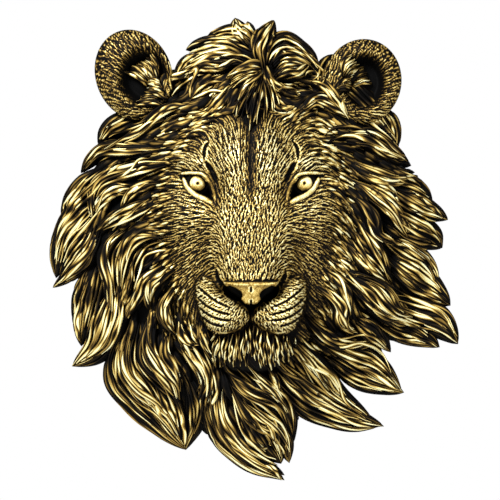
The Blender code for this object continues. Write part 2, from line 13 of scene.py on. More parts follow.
import bmesh
import bpy
import numpy as np
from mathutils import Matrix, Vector


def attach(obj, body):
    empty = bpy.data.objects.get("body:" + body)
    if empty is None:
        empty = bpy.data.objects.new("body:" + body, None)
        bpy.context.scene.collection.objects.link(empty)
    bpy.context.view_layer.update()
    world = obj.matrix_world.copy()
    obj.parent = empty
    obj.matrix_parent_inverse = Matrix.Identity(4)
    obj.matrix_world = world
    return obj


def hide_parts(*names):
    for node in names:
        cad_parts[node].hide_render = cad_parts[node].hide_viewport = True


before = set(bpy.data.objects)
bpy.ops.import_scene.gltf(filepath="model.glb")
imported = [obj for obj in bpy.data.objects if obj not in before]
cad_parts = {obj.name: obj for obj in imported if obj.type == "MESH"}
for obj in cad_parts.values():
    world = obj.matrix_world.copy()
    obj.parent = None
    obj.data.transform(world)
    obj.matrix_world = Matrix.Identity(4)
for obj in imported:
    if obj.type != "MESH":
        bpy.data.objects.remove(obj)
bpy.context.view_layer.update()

LOG = logging.getLogger("lion_head")
Array = np.ndarray
Depth = Callable[[np.ndarray, np.ndarray], np.ndarray]
Drawn = tuple[bpy.types.Mesh, np.ndarray, np.ndarray, np.ndarray, np.ndarray]
Point = tuple[float, float]
Places = tuple[Point, ...]
MM = 0.001


@dataclass(frozen=True)
class Sheet:
    """The layout sheet that the head is drawn on.

    Args:
        height: the head's height, in metres.
        steps_high: the same height in the sheet's steps.
        size: the sheet's width and height, in steps.
        mount: where the mount lies, across and down.
        axis: the line across the sheet that the face is the same to both sides of.
    """

    height: float = 0.300
    steps_high: float = 463.0
    size: int = 500
    mount: Point = (250.0, 200.0)
    axis: float = 251

    @property
    def step(self) -> float:
        """One step of the sheet, in metres."""
        return self.height / self.steps_high

    def place(self, across: Array, down: Array, depth: Array) -> Array:
        """Points in the model's frame from places on the sheet.

        Args:
            across, down: places on the sheet.
            depth: how far they stand off the wall, in metres.

        Returns:
            Rows of x, y and z, in metres.
        """
        x = (across - self.mount[0]) * self.step
        z = (self.mount[1] - down) * self.step
        return np.stack([x, -depth, z], axis=-1)

    def unplace(self, points: Array) -> tuple[Array, Array, Array]:
        """Places on the sheet and depths off the wall from points in the model's frame."""
        across = points[:, 0] / self.step + self.mount[0]
        return across, self.mount[1] - points[:, 2] / self.step, -points[:, 1]


SHEET = Sheet()
STEP = SHEET.step


def sides(across: Array) -> Array:
    """How far places across the sheet lie from the face's axis, to either side."""
    return np.abs(across - SHEET.axis)


def ease(value: Array, low: float, high: float) -> Array:
    """0 below low, 1 above high and a smooth change between."""
    t = np.clip((value - low) / (high - low), 0, 1)
    return t * t * (3 - 2 * t)


def turned(across: Array, down: Array, centre: Point, reach: Point, turn: float) -> tuple[Array, Array]:
    """Places measured from a centre along turned axes.

    Args:
        across, down: places on the sheet.
        centre: what they are measured from.
        reach: the half width and half height that count as 1.
        turn: how far the axes are turned, in degrees.

    Returns:
        Shares of the reach, along each axis.
    """
    c, s = math.cos(math.radians(turn)), math.sin(math.radians(turn))
    u, v = across - centre[0], down - centre[1]
    return (c * u + s * v) / reach[0], (c * v - s * u) / reach[1]


def hill(across: Array, down: Array, centre: Point, reach: Point, turn: float = 0.0) -> Array:
    """A rounded hill, 1 at its centre and fading out past its reach."""
    p, q = turned(across, down, centre, reach, turn)
    return np.exp(-(p**2 + q**2) * 1.2)


def cushion(across: Array, down: Array, centre: Point, reach: Point, turn: float, power: float) -> Array:
    """A full, cushion-like swelling.

    Args:
        across, down: places on the sheet.
        centre: its middle.
        reach: its half width and half height.
        turn: how far it is turned, in degrees.
        power: 2 for an oval, more for a squarer one.

    Returns:
        1 at its centre, 0 at its edge and below 0 outside.
    """
    p, q = turned(across, down, centre, reach, turn)
    r = np.abs(p) ** power + np.abs(q) ** power
    return np.where(r < 1, np.sqrt(np.clip(1 - r, 0, 1)), 1 - r)


def blend_up(one: Array, other: Array, width: float) -> Array:
    """The greater of two depths, with the corner between them rounded."""
    return (one + other + np.sqrt((one - other) ** 2 + width**2)) / 2


def spline(before: Array, start: Array, end: Array, after: Array, t: Array) -> Array:
    """A smooth run of values between two knots, t from 0 to 1, that also heeds the knots beyond them."""
    curve = (2 * before - 5 * start + 4 * end - after) * t**2 + (3 * start - before - 3 * end + after) * t**3
    return 0.5 * (2 * start + (end - before) * t + curve)


def curve_through(points: Iterable[Point], share: Array) -> Array:
    """A smooth curve through some points.

    Args:
        points: what it goes through.
        share: where to read it, 0 to 1 of its length in spans.

    Returns:
        A point for each share.
    """
    points = np.asarray(points, float)
    padded = np.vstack([2 * points[0] - points[1], points, 2 * points[-1] - points[-2]])
    place = np.clip(np.asarray(share, float), 0, 1) * (len(points) - 1)
    span = np.minimum(place.astype(int), len(points) - 2)
    t = (place - span)[..., None]
    return spline(*(padded[span + k] for k in range(4)), t)


@dataclass(frozen=True)
class Swell:
    """A low hill or hollow on the face, the same on both sides.

    Args:
        rise: how far it stands up, below 0 for a hollow.
        centre: its middle, from the face's axis and down the sheet.
        reach: its half width and half height, in steps.
        turn: how far it is turned, in degrees.
    """

    rise: float
    centre: Point
    reach: Point
    turn: float = 0.0

    def at(self, side: Array, down: Array) -> Array:
        """What it adds at each place."""
        return self.rise * hill(side, down, self.centre, self.reach, self.turn)


@dataclass(frozen=True)
class HeadForm:
    """The head's large forms, as a depth off the wall at each place of the sheet.

    Places on the face are given from its axis, as the distance to either side, and down the sheet.
    """

    centre: Point = (250, 235)
    rim: tuple[float, ...] = (
        198, 182, 175, 166, 172, 172, 172, 166, 176, 205, 186, 192, 176, 174, 178, 166, 170, 181,
    )
    edge: float = 9 * MM
    rise: float = 41 * MM
    power: float = 2.4
    slope: float = 6.4
    oval: Point = (92, 132)
    oval_down: float = 225
    face_down: float = 180
    face_reach: Point = (100, 125)
    face_rise: float = 14 * MM
    swells: tuple[Swell, ...] = (
        Swell(3.5 * MM, (19, 154), (17, 27)),  # forehead, beside the furrow
        Swell(5.0 * MM, (60, 163), (30, 12), -10),  # brow
        Swell(-4.5 * MM, (51, 189), (24, 15), -25),  # socket
        Swell(-3.5 * MM, (36, 200), (8, 16), -20),  # inner corner of the eye
        Swell(-3.0 * MM, (38, 172), (5, 16), 25),  # hollow between brow and bridge
        Swell(5.5 * MM, (72, 216), (28, 24)),  # cheekbone
        Swell(-3.5 * MM, (50, 248), (12, 24)),  # hollow beside the muzzle
    )
    furrow: float = 1.2 * MM
    furrow_half: float = 6
    bridge_down: tuple[float, ...] = (95, 120, 150, 180, 205, 230, 255, 272, 282)
    bridge_rise: tuple[float, ...] = (0, 2, 4, 5, 7.5, 12, 17, 22, 26)
    bridge_half: tuple[float, ...] = (16, 18, 22, 28, 33, 37, 34, 31, 30)
    eye_opening: Places = (
        (66.5, 177), (59, 176.5), (49, 178.5), (42.5, 185), (39.3, 194),
        (38.3, 201.5), (44.5, 197.2), (53, 193), (60.8, 185.6),
    )
    eye_centre: Point = (52.3, 184.6)
    eye_radius: float = 15
    eye_front: float = 53.7 * MM
    lid_roll: float = 1.6 * MM
    lid_sink: float = 5 * MM
    pad_outline: Places = (
        (37, 278), (28, 289), (15, 297.5), (4, 305), (-3, 313), (-2, 320), (10, 329),
        (25, 334), (35, 333), (43, 327), (50, 312), (54.5, 295), (54, 281), (47, 275),
    )
    pad_rounding: float = 13
    pad_middle: float = 0.22
    pad_centre: tuple[Point, Point] = ((29, 306), (24, 24))
    pad_blend: float = 2.5 * MM
    pad_front: float = 78 * MM
    pad_edge: float = 47 * MM
    chin: tuple[Point, Point, float] = ((0, 337), (38, 34), 0)
    chin_front: float = 60 * MM
    chin_edge: float = 41 * MM
    chin_blend: float = 5 * MM
    chin_power: float = 2.4
    nose_down: tuple[float, ...] = (278, 282, 290, 298, 304)
    nose_half: tuple[float, ...] = (23, 25.5, 20, 9.5, 4.5)
    nose_top: float = 83 * MM
    nose_bottom: float = 76 * MM
    nostril: tuple[Point, Point, float] = ((17.5, 292.5), (9.6, 6.4), -30)
    nostril_power: float = 2.6
    nostril_depth: float = 10 * MM
    parting_depth: float = 4 * MM
    parting_half: float = 2.5

    def rim_radius(self, angle: Array) -> Array:
        """The dome's rim.

        Args:
            angle: turns clockwise from the top, in radians.

        Returns:
            How far out it is at each, in steps.
        """
        rim = np.array(self.rim, float)
        place = (np.asarray(angle) / (2 * math.pi)) % 1 * len(rim)
        i = place.astype(int) % len(rim)
        t = place - np.floor(place)
        return spline(*(rim[(i + k) % len(rim)] for k in (-1, 0, 1, 2)), t)

    def rim_share(self, across: Array, down: Array) -> Array:
        """How far out a place is, as a share of the way to the dome's rim."""
        u, v = across - self.centre[0], down - self.centre[1]
        return np.hypot(u, v) / self.rim_radius(np.arctan2(u, -v))

    def dome_depth(self, across: Array, down: Array) -> Array:
        """How far the mane's dome stands off the wall. Past its rim it falls away behind the wall.

        Args:
            across, down: places on the sheet.

        Returns:
            Metres off the wall.
        """
        u, v = across - self.centre[0], down - self.centre[1]
        radius = np.hypot(u, v)
        rim = self.rim_radius(np.arctan2(u, -v))
        share = radius / rim
        inside = self.edge + self.rise * (1 - np.clip(share, 0, 1) ** self.power)
        return np.where(share < 1, inside, self.edge - (radius - rim) * STEP * self.slope)

    def face_depth(self, across: Array, down: Array) -> Array:
        """What the face adds to the dome: forehead, bridge, brows, sockets and cheeks.

        Args:
            across, down: places on the sheet.

        Returns:
            Metres above the dome.
        """
        side = sides(across)
        p = side / self.face_reach[0]
        q = (down - self.face_down) / self.face_reach[1]
        added = self.face_rise * np.clip(1 - p**2 - q**2, 0, 1)
        rise = np.interp(down, self.bridge_down, self.bridge_rise) * MM * (1 - ease(down, 282, 300))
        added = added + rise / (1 + (side / np.interp(down, self.bridge_down, self.bridge_half)) ** 4)
        for swell in self.swells:
            added = added + swell.at(side, down)
        length = ease(down, 100, 125) * (1 - ease(down, 180, 215))
        return added - self.furrow * np.exp(-((side / self.furrow_half) ** 2)) * length

    @staticmethod
    def outside(side: Array, down: Array, outline: Places) -> Array:
        """How far places on the face are from a closed outline.

        Args:
            side: how far they are from the face's axis.
            down: how far down the sheet.
            outline: its corners.

        Returns:
            Steps outside it, and below 0 inside.
        """
        nearest = np.full(np.shape(side), 1e9)
        inside = np.zeros(np.shape(side), bool)
        for (a0, b0), (a1, b1) in zip(outline, outline[1:] + outline[:1]):
            run, drop = a1 - a0, b1 - b0
            share = np.clip(((side - a0) * run + (down - b0) * drop) / (run**2 + drop**2), 0, 1)
            nearest = np.minimum(nearest, np.hypot(side - a0 - share * run, down - b0 - share * drop))
            if drop:
                crosses = ((b0 > down) != (b1 > down)) & (side < a0 + (down - b0) * run / drop)
                inside = inside ^ crosses
        return np.where(inside, -nearest, nearest)

    def outside_opening(self, side: Array, down: Array) -> Array:
        """Steps outside the eye's opening, and below 0 inside it."""
        return self.outside(side, down, self.eye_opening)

    def oval_share(self, across: Array, down: Array) -> Array:
        """How far out a place is, as a share of the way to the face's oval."""
        return np.hypot((across - SHEET.axis) / self.oval[0], (down - self.oval_down) / self.oval[1])

    def pad_share(self, across: Array, down: Array) -> Array:
        """The muzzle pads' fullness.

        Args:
            across, down: places on the sheet.

        Returns:
            1 at their middles, 0 at their edges and below 0 outside.
        """
        side = sides(across)
        share = -self.outside(side, down, self.pad_outline) / self.pad_rounding
        full = np.sqrt(1 - (1 - np.clip(share, 0, 1)) ** 2)
        full = full * (1 - self.pad_middle + self.pad_middle * hill(side, down, *self.pad_centre))
        return np.where(share > 0, full, share)

    def chin_share(self, across: Array, down: Array) -> Array:
        """The chin's fullness: above 0 on it."""
        return cushion(sides(across), down, *self.chin, self.chin_power)

    def nostril_share(self, across: Array, down: Array) -> Array:
        """1 deep in a nostril and 0 outside it."""
        inside = cushion(sides(across), down, *self.nostril, self.nostril_power)
        return ease(inside, -0.05, 0.5)

    def leather_share(self, across: Array, down: Array) -> Array:
        """Where the nose leather is.

        Args:
            across, down: places on the sheet.

        Returns:
            1 on it and 0 off it.
        """
        side = sides(across)
        half = np.interp(down, self.nose_down, self.nose_half)
        first, last = self.nose_down[0], self.nose_down[-1]
        ends = ease(down, first + 1, first + 4) * (1 - ease(down, last - 3, last + 2))
        return ends * (1 - ease(side, half - 1, half + 2))

    def depth(self, across: Array, down: Array) -> Array:
        """The whole head without its locks and ears.

        Args:
            across, down: places on the sheet.

        Returns:
            Metres off the wall.
        """
        side = sides(across)
        depth = self.dome_depth(across, down) + self.face_depth(across, down)
        outside = self.outside_opening(side, down)
        depth = depth + self.lid_roll * np.exp(-(((outside - 2) / 3) ** 2))
        depth = depth - self.lid_sink * (1 - ease(outside, -1.5, 0.3))
        chin = self.chin_share(across, down)
        full = self.chin_edge + (self.chin_front - self.chin_edge) * chin
        depth = np.where(chin > -0.3, blend_up(depth, full, self.chin_blend), depth)
        pad = self.pad_share(across, down)
        full = self.pad_edge + (self.pad_front - self.pad_edge) * pad - 1.5 * MM * ease(side, 7, 0)
        depth = np.where(pad > -0.3, blend_up(depth, full, self.pad_blend), depth)
        leather = self.leather_share(across, down)
        nose = np.interp(down, (self.nose_down[0], self.nose_down[-1]), (self.nose_top, self.nose_bottom))
        depth = np.where(leather > 0, np.maximum(depth, depth + (nose - depth) * leather), depth)
        depth = depth - self.nostril_depth * self.nostril_share(across, down)
        parting = ease(down, 301, 306) * (1 - ease(down, 311, 318))
        return depth - self.parting_depth * np.exp(-((side / self.parting_half) ** 2)) * parting


FORM = HeadForm()


@dataclass(frozen=True)
class Lock:
    """One lock of the mane.

    Args:
        points: its spine, four places of the sheet from root to tip.
        width: its full width, in steps.
        layer: how high it lies over the dome, 1 the lowest.
        run: how far its tip reaches past the last point, in steps.
    """

    points: Places
    width: float
    layer: float
    run: float = 4.5


def locks(**rows: tuple) -> tuple[Lock, ...]:
    """Locks from their names, each with four places, a width and a layer."""
    return tuple(Lock(tuple(points), width, layer) for *points, width, layer in rows.values())


LEFT_LOCKS = locks(
    left_ear_roll=((155, 116), (134, 122), (114, 128), (101, 142), 26, 1),
    left_brow_sweep=((195, 108), (165, 113), (140, 134), (116, 148), 13, 3),
    left_temple_sweep=((168, 150), (132, 151), (102, 152), (84, 170), 18, 2),
    left_temple_tuft=((135, 160), (118, 166), (105, 177), (94, 192), 10, 1),
    left_long_curl=((176, 163), (138, 171), (99, 188), (97, 224), 15, 3),
    left_cheek_leaf=((140, 189), (118, 190), (104, 200), (96, 214), 16, 2),
    left_cheek_tuft=((163, 184), (146, 188), (134, 196), (126, 207), 12, 3),
    left_jaw_leaf=((160, 202), (140, 210), (120, 219), (98, 232), 18, 2),
    left_outer_1=((115, 165), (93, 183), (75, 202), (65, 219), 26, 1),
    left_outer_2=((106, 195), (84, 215), (66, 240), (57, 274), 32, 1),
    left_outer_3=((103, 222), (93, 247), (79, 267), (56, 285), 20, 2),
    left_outer_4=((104, 250), (93, 285), (86, 315), (82, 342), 32, 1),
    left_outer_5=((120, 280), (113, 315), (101, 345), (76, 364), 34, 2),
    left_base=((100, 215), (88, 240), (74, 258), (62, 274), 26, 1),
    left_ribbon=((135, 226), (108, 250), (111, 283), (113, 314), 13, 3),
    left_fall_1=((170, 233), (140, 237), (126, 258), (122, 292), 18, 2),
    left_fall_2=((170, 262), (149, 278), (141, 294), (128, 317), 14, 3),
    left_fall_3=((178, 268), (160, 278), (151, 290), (151, 306), 14, 3),
    left_jowl_tuft=((178, 284), (166, 303), (167, 318), (176, 331), 13, 3),
    left_great_1=((128, 318), (117, 372), (143, 410), (183, 447), 26, 1),
    left_great_2=((138, 312), (128, 362), (152, 398), (184, 446), 26, 2),
    left_great_3=((156, 306), (150, 350), (172, 380), (180, 405), 22, 3),
    left_great_4=((172, 322), (166, 350), (177, 372), (181, 392), 14, 2),
    left_great_5=((180, 362), (194, 392), (196, 418), (187, 446), 22, 1),
    left_great_base=((150, 360), (166, 396), (175, 418), (182, 442), 34, 1),
)
BEARD_LOCKS = locks(
    beard_curl_left=((181, 316), (184, 334), (190, 342), (200, 343), 11, 3),
    beard_curl_mid=((203, 318), (204, 332), (208, 344), (214, 356), 12, 3),
    beard_left_1=((178, 333), (194, 354), (206, 374), (206, 404), 18, 2),
    beard_left_2=((208, 350), (211, 382), (205, 405), (212, 428), 24, 1),
    beard_great_1=((218, 350), (217, 410), (239, 451), (281, 478), 30, 1),
    beard_great_2=((222, 368), (221, 418), (246, 450), (281, 473), 20, 2),
    beard_great_3=((226, 372), (252, 414), (279, 432), (288, 459), 26, 2),
    beard_great_4=((222, 352), (248, 383), (281, 402), (292, 440), 30, 1),
    beard_base=((238, 392), (256, 420), (268, 440), (279, 460), 44, 1),
    beard_tongue_1=((246, 362), (262, 379), (277, 394), (288, 415), 14, 3),
    beard_tongue_2=((266, 362), (272, 374), (277, 384), (279, 396), 9, 3),
    right_great_1=((268, 352), (298, 384), (334, 407), (380, 425), 26, 2),
    right_great_2=((272, 372), (300, 397), (338, 416), (374, 426), 30, 1),
    right_great_3=((284, 330), (313, 364), (335, 392), (371, 420), 24, 2),
    right_great_4=((312, 336), (345, 352), (376, 365), (399, 388), 24, 2),
    right_great_5=((322, 352), (348, 369), (374, 382), (400, 391), 26, 1),
    right_jowl_ribbon=((302, 312), (324, 334), (346, 344), (376, 340), 14, 3),
    right_jowl_curl=((314, 284), (338, 303), (340, 322), (357, 332), 14, 3),
    right_jowl_tuft=((326, 272), (342, 288), (346, 302), (351, 318), 11, 3),
)
RIGHT_LOCKS = locks(
    right_fan_1=((348, 314), (363, 325), (376, 334), (388, 349), 22, 2),
    right_outer_1=((372, 296), (407, 311), (438, 322), (455, 341), 35, 1),
    right_outer_2=((362, 305), (394, 325), (418, 334), (436, 345), 28, 1),
    right_leaf_1=((340, 272), (372, 290), (392, 312), (415, 318), 32, 3),
    right_leaf_2=((342, 240), (362, 260), (376, 271), (388, 283), 18, 3),
    right_outer_3=((376, 250), (404, 272), (430, 290), (447, 303), 34, 1),
    right_outer_4=((376, 234), (403, 250), (424, 264), (435, 282), 24, 1),
    right_outer_5=((378, 208), (408, 228), (428, 237), (439, 245), 34, 1),
    right_outer_6=((376, 182), (405, 199), (425, 209), (444, 218), 26, 2),
    right_outer_7=((372, 168), (397, 181), (415, 189), (429, 198), 22, 1),
    right_long_leaf=((346, 180), (376, 200), (393, 215), (408, 239), 18, 3),
    right_short_leaf=((358, 178), (378, 186), (391, 194), (399, 207), 14, 2),
    right_ribbon_1=((346, 194), (368, 214), (376, 236), (406, 248), 14, 3),
    right_ribbon_2=((352, 218), (370, 242), (379, 257), (386, 272), 13, 2),
    right_temple_1=((340, 160), (366, 174), (392, 182), (414, 177), 19, 3),
    right_temple_2=((334, 140), (366, 140), (388, 154), (405, 161), 24, 2),
    right_ear_ridge=((322, 74), (346, 92), (374, 118), (396, 143), 32, 2),
    right_ear_roll=((370, 108), (385, 118), (392, 130), (395, 146), 18, 1),
)
CROWN_LOCKS = locks(
    crown_right_peak=((264, 76), (260, 52), (266, 36), (272, 24), 23, 2),
    crown_left_peak=((262, 58), (246, 36), (238, 30), (236, 22), 24, 1),
    crown_left_1=((258, 50), (240, 37), (224, 36), (208, 39), 20, 1),
    crown_left_2=((252, 60), (229, 46), (208, 44), (190, 49), 17, 2),
    crown_left_3=((256, 72), (230, 58), (205, 60), (180, 70), 22, 2),
    crown_left_root=((204, 58), (195, 64), (186, 70), (178, 80), 22, 1),
    crown_curl_1=((206, 68), (184, 76), (166, 82), (167, 100), 11, 3),
    crown_curl_2=((246, 66), (218, 68), (198, 70), (191, 96), 16, 3),
    crown_forelock_1=((264, 70), (252, 68), (240, 74), (229, 82), 11, 3),
    crown_forelock_2=((264, 70), (256, 84), (246, 94), (238, 118), 13, 3),
    crown_forelock_3=((264, 70), (262, 92), (254, 108), (250, 132), 13, 2),
    crown_forelock_4=((264, 68), (266, 80), (272, 88), (284, 96), 11, 3),
    crown_right_1=((266, 70), (280, 46), (299, 53), (316, 66), 27, 1),
    crown_right_2=((266, 74), (284, 58), (304, 62), (326, 82), 20, 2),
    crown_right_3=((272, 84), (286, 74), (298, 72), (309, 64), 20, 3),
    crown_right_4=((302, 80), (322, 86), (336, 102), (348, 121), 16, 3),
    crown_right_root=((340, 58), (330, 64), (323, 76), (318, 90), 20, 1),
    crown_brow_right=((296, 116), (314, 103), (330, 107), (348, 119), 15, 3),
)
ALL_LOCKS = LEFT_LOCKS + BEARD_LOCKS + RIGHT_LOCKS + CROWN_LOCKS


def sampled(grid: Array, across: Array, down: Array, cell: float, corner: Point = (0.0, 0.0)) -> Array:
    """Values read off a grid, between its samples.

    Args:
        grid: the values, one row for each place down.
        across: where to read, in steps across.
        down: where to read, in steps down.
        cell: steps between samples.
        corner: the grid's first sample, across and down.

    Returns:
        One value for each place.
    """
    x = np.clip((across - corner[0]) / cell, 0, grid.shape[1] - 1.001)
    y = np.clip((down - corner[1]) / cell, 0, grid.shape[0] - 1.001)
    i, j = x.astype(int), y.astype(int)
    p, q = x - i, y - j
    upper = grid[j, i] * (1 - p) + grid[j, i + 1] * p
    lower = grid[j + 1, i] * (1 - p) + grid[j + 1, i + 1] * p
    return upper * (1 - q) + lower * q


def blurred(grid: Array, spread: float) -> Array:
    """A grid smoothed by a bell curve.

    Args:
        grid: the values.
        spread: how many samples wide the bell is.

    Returns:
        A grid of the same size.
    """
    reach = int(3 * spread)
    bell = np.exp(-0.5 * (np.arange(-reach, reach + 1) / spread) ** 2)
    bell /= bell.sum()
    for axis in (0, 1):
        padded = np.pad(grid, [(reach, reach) if axis == k else (0, 0) for k in (0, 1)], mode="edge")
        size = grid.shape[axis]
        grid = sum(w * np.take(padded, np.arange(k, k + size), axis=axis) for k, w in enumerate(bell))
    return grid


def normal_of(depth: Depth, across: Array, down: Array, steepest: float = 0.8) -> Array:
    """The outward direction of a surface.

    Args:
        depth: the surface's depth at places on the sheet.
        across, down: places on the sheet.
        steepest: the slope past which it turns no further.

    Returns:
        A direction of length 1 for each place.
    """
    reach = 4.0
    slope_x = (depth(across + reach, down) - depth(across - reach, down)) / (2 * reach * STEP)
    slope_z = (depth(across, down - reach) - depth(across, down + reach)) / (2 * reach * STEP)
    steep = np.maximum(np.hypot(slope_x, slope_z) / steepest, 1)
    normal = np.stack([-slope_x / steep, -np.ones_like(slope_x), -slope_z / steep], axis=-1)
    return normal / np.linalg.norm(normal, axis=-1, keepdims=True)


def unit(across: Array, down: Array) -> tuple[Array, Array]:
    """Directions on the sheet, each one step long."""
    length = np.hypot(across, down) + 1e-9
    return across / length, down / length


class Lie:
    """Which way hair lies over part of the sheet."""

    def at(self, across: Array, down: Array) -> tuple[Array, Array]:
        """The direction the hair lies in, from root to tip, at places on the sheet."""
        raise NotImplementedError

    def traced(self, seeds: Array, stride: float, count: int) -> Array:
        """Paths that follow the hair from each seed.

        Args:
            seeds: the places they start from.
            stride: steps between a path's points.
            count: points on each path.

        Returns:
            Places, by point and then by path.
        """
        path = [np.asarray(seeds, float)]
        for _ in range(count - 1):
            here = path[-1]
            x, y = self.at(here[:, 0], here[:, 1])
            path.append(here + stride * np.stack([x, y], axis=-1))
        return np.stack(path)


@dataclass
class Flow(Lie):
    """Which way the hair lies over the face and the mane.

    Args:
        guides: the locks whose lie the mane between them follows.
        cell: steps between the samples kept.
    """

    guides: tuple[Lock, ...]
    cell: float = 3.0
    stations: int = 12
    softness: float = 30
    middle: Point = (250, 215)
    bridge_half: float = 38
    bridge_end: float = 300
    pads_down: float = 290
    mane_across: Array = field(init=False)
    mane_down: Array = field(init=False)

    def __post_init__(self) -> None:
        """Works out the mane's lie from its locks, each counting by how near it is."""
        places, headings = [], []
        for lock in self.guides:
            route = curve_through(lock.points, np.linspace(0.04, 0.96, self.stations))
            heading = np.gradient(route, axis=0)
            places.append(route)
            headings.append(heading / np.linalg.norm(heading, axis=1, keepdims=True))
        place, heading = np.vstack(places), np.vstack(headings)
        line = np.arange(0, SHEET.size + self.cell, self.cell)
        self.mane_across = np.zeros((len(line), len(line)))
        self.mane_down = np.zeros_like(self.mane_across)
        for j, down in enumerate(line):
            gap = (line[:, None] - place[:, 0]) ** 2 + (down - place[:, 1]) ** 2
            weight = 1 / (gap + self.softness) ** 2
            self.mane_across[j] = weight @ heading[:, 0]
            self.mane_down[j] = weight @ heading[:, 1]
        self.mane_across, self.mane_down = unit(self.mane_across, self.mane_down)

    def at(self, across: Array, down: Array) -> tuple[Array, Array]:
        """The direction the hair lies in, from root to tip.

        Args:
            across, down: places on the sheet.

        Returns:
            Directions one step long.
        """
        u, v = across - self.middle[0], down - self.middle[1]
        on_bridge = np.exp(-((u / self.bridge_half) ** 4)) * ease(down, 165, 195) * (1 - ease(down, 278, 290))
        on_pad = ease(FORM.pad_share(across, down), -0.1, 0.15)
        on_chin = ease(down, 324, 332) * (1 - ease(np.abs(u), 36, 46))
        lie_x, lie_y = unit(u, v)
        for (x, y), share in (
            (unit(0.35 * u, down - self.bridge_end), on_bridge),
            (unit(u, (down - self.pads_down) * 0.8 + 6), on_pad),
            (unit(0.5 * u, np.full_like(u, 40)), on_chin),
        ):
            lie_x = lie_x + (x - lie_x) * share
            lie_y = lie_y + (y - lie_y) * share
        outer = ease(FORM.oval_share(across, down), 0.72, 1.0)
        mane_x = sampled(self.mane_across, across, down, self.cell)
        mane_y = sampled(self.mane_down, across, down, self.cell)
        return unit(lie_x + (mane_x - lie_x) * outer, lie_y + (mane_y - lie_y) * outer)


def jittered(low: Point, high: Point, gap: float, rng: np.random.Generator) -> Array:
    """Places strewn evenly, but not in rows, over a box on the sheet.

    Args:
        low: the box's first corner.
        high: its last corner.
        gap: steps between neighbours.
        rng: their random draws.

    Returns:
        Rows of across and down.
    """
    across, down = np.meshgrid(np.arange(low[0], high[0], gap), np.arange(low[1], high[1], gap))
    across = across + (np.arange(len(across)) % 2)[:, None] * gap / 2
    places = np.stack([across.ravel(), down.ravel()], axis=-1)
    return places + rng.uniform(-0.42, 0.42, places.shape) * gap


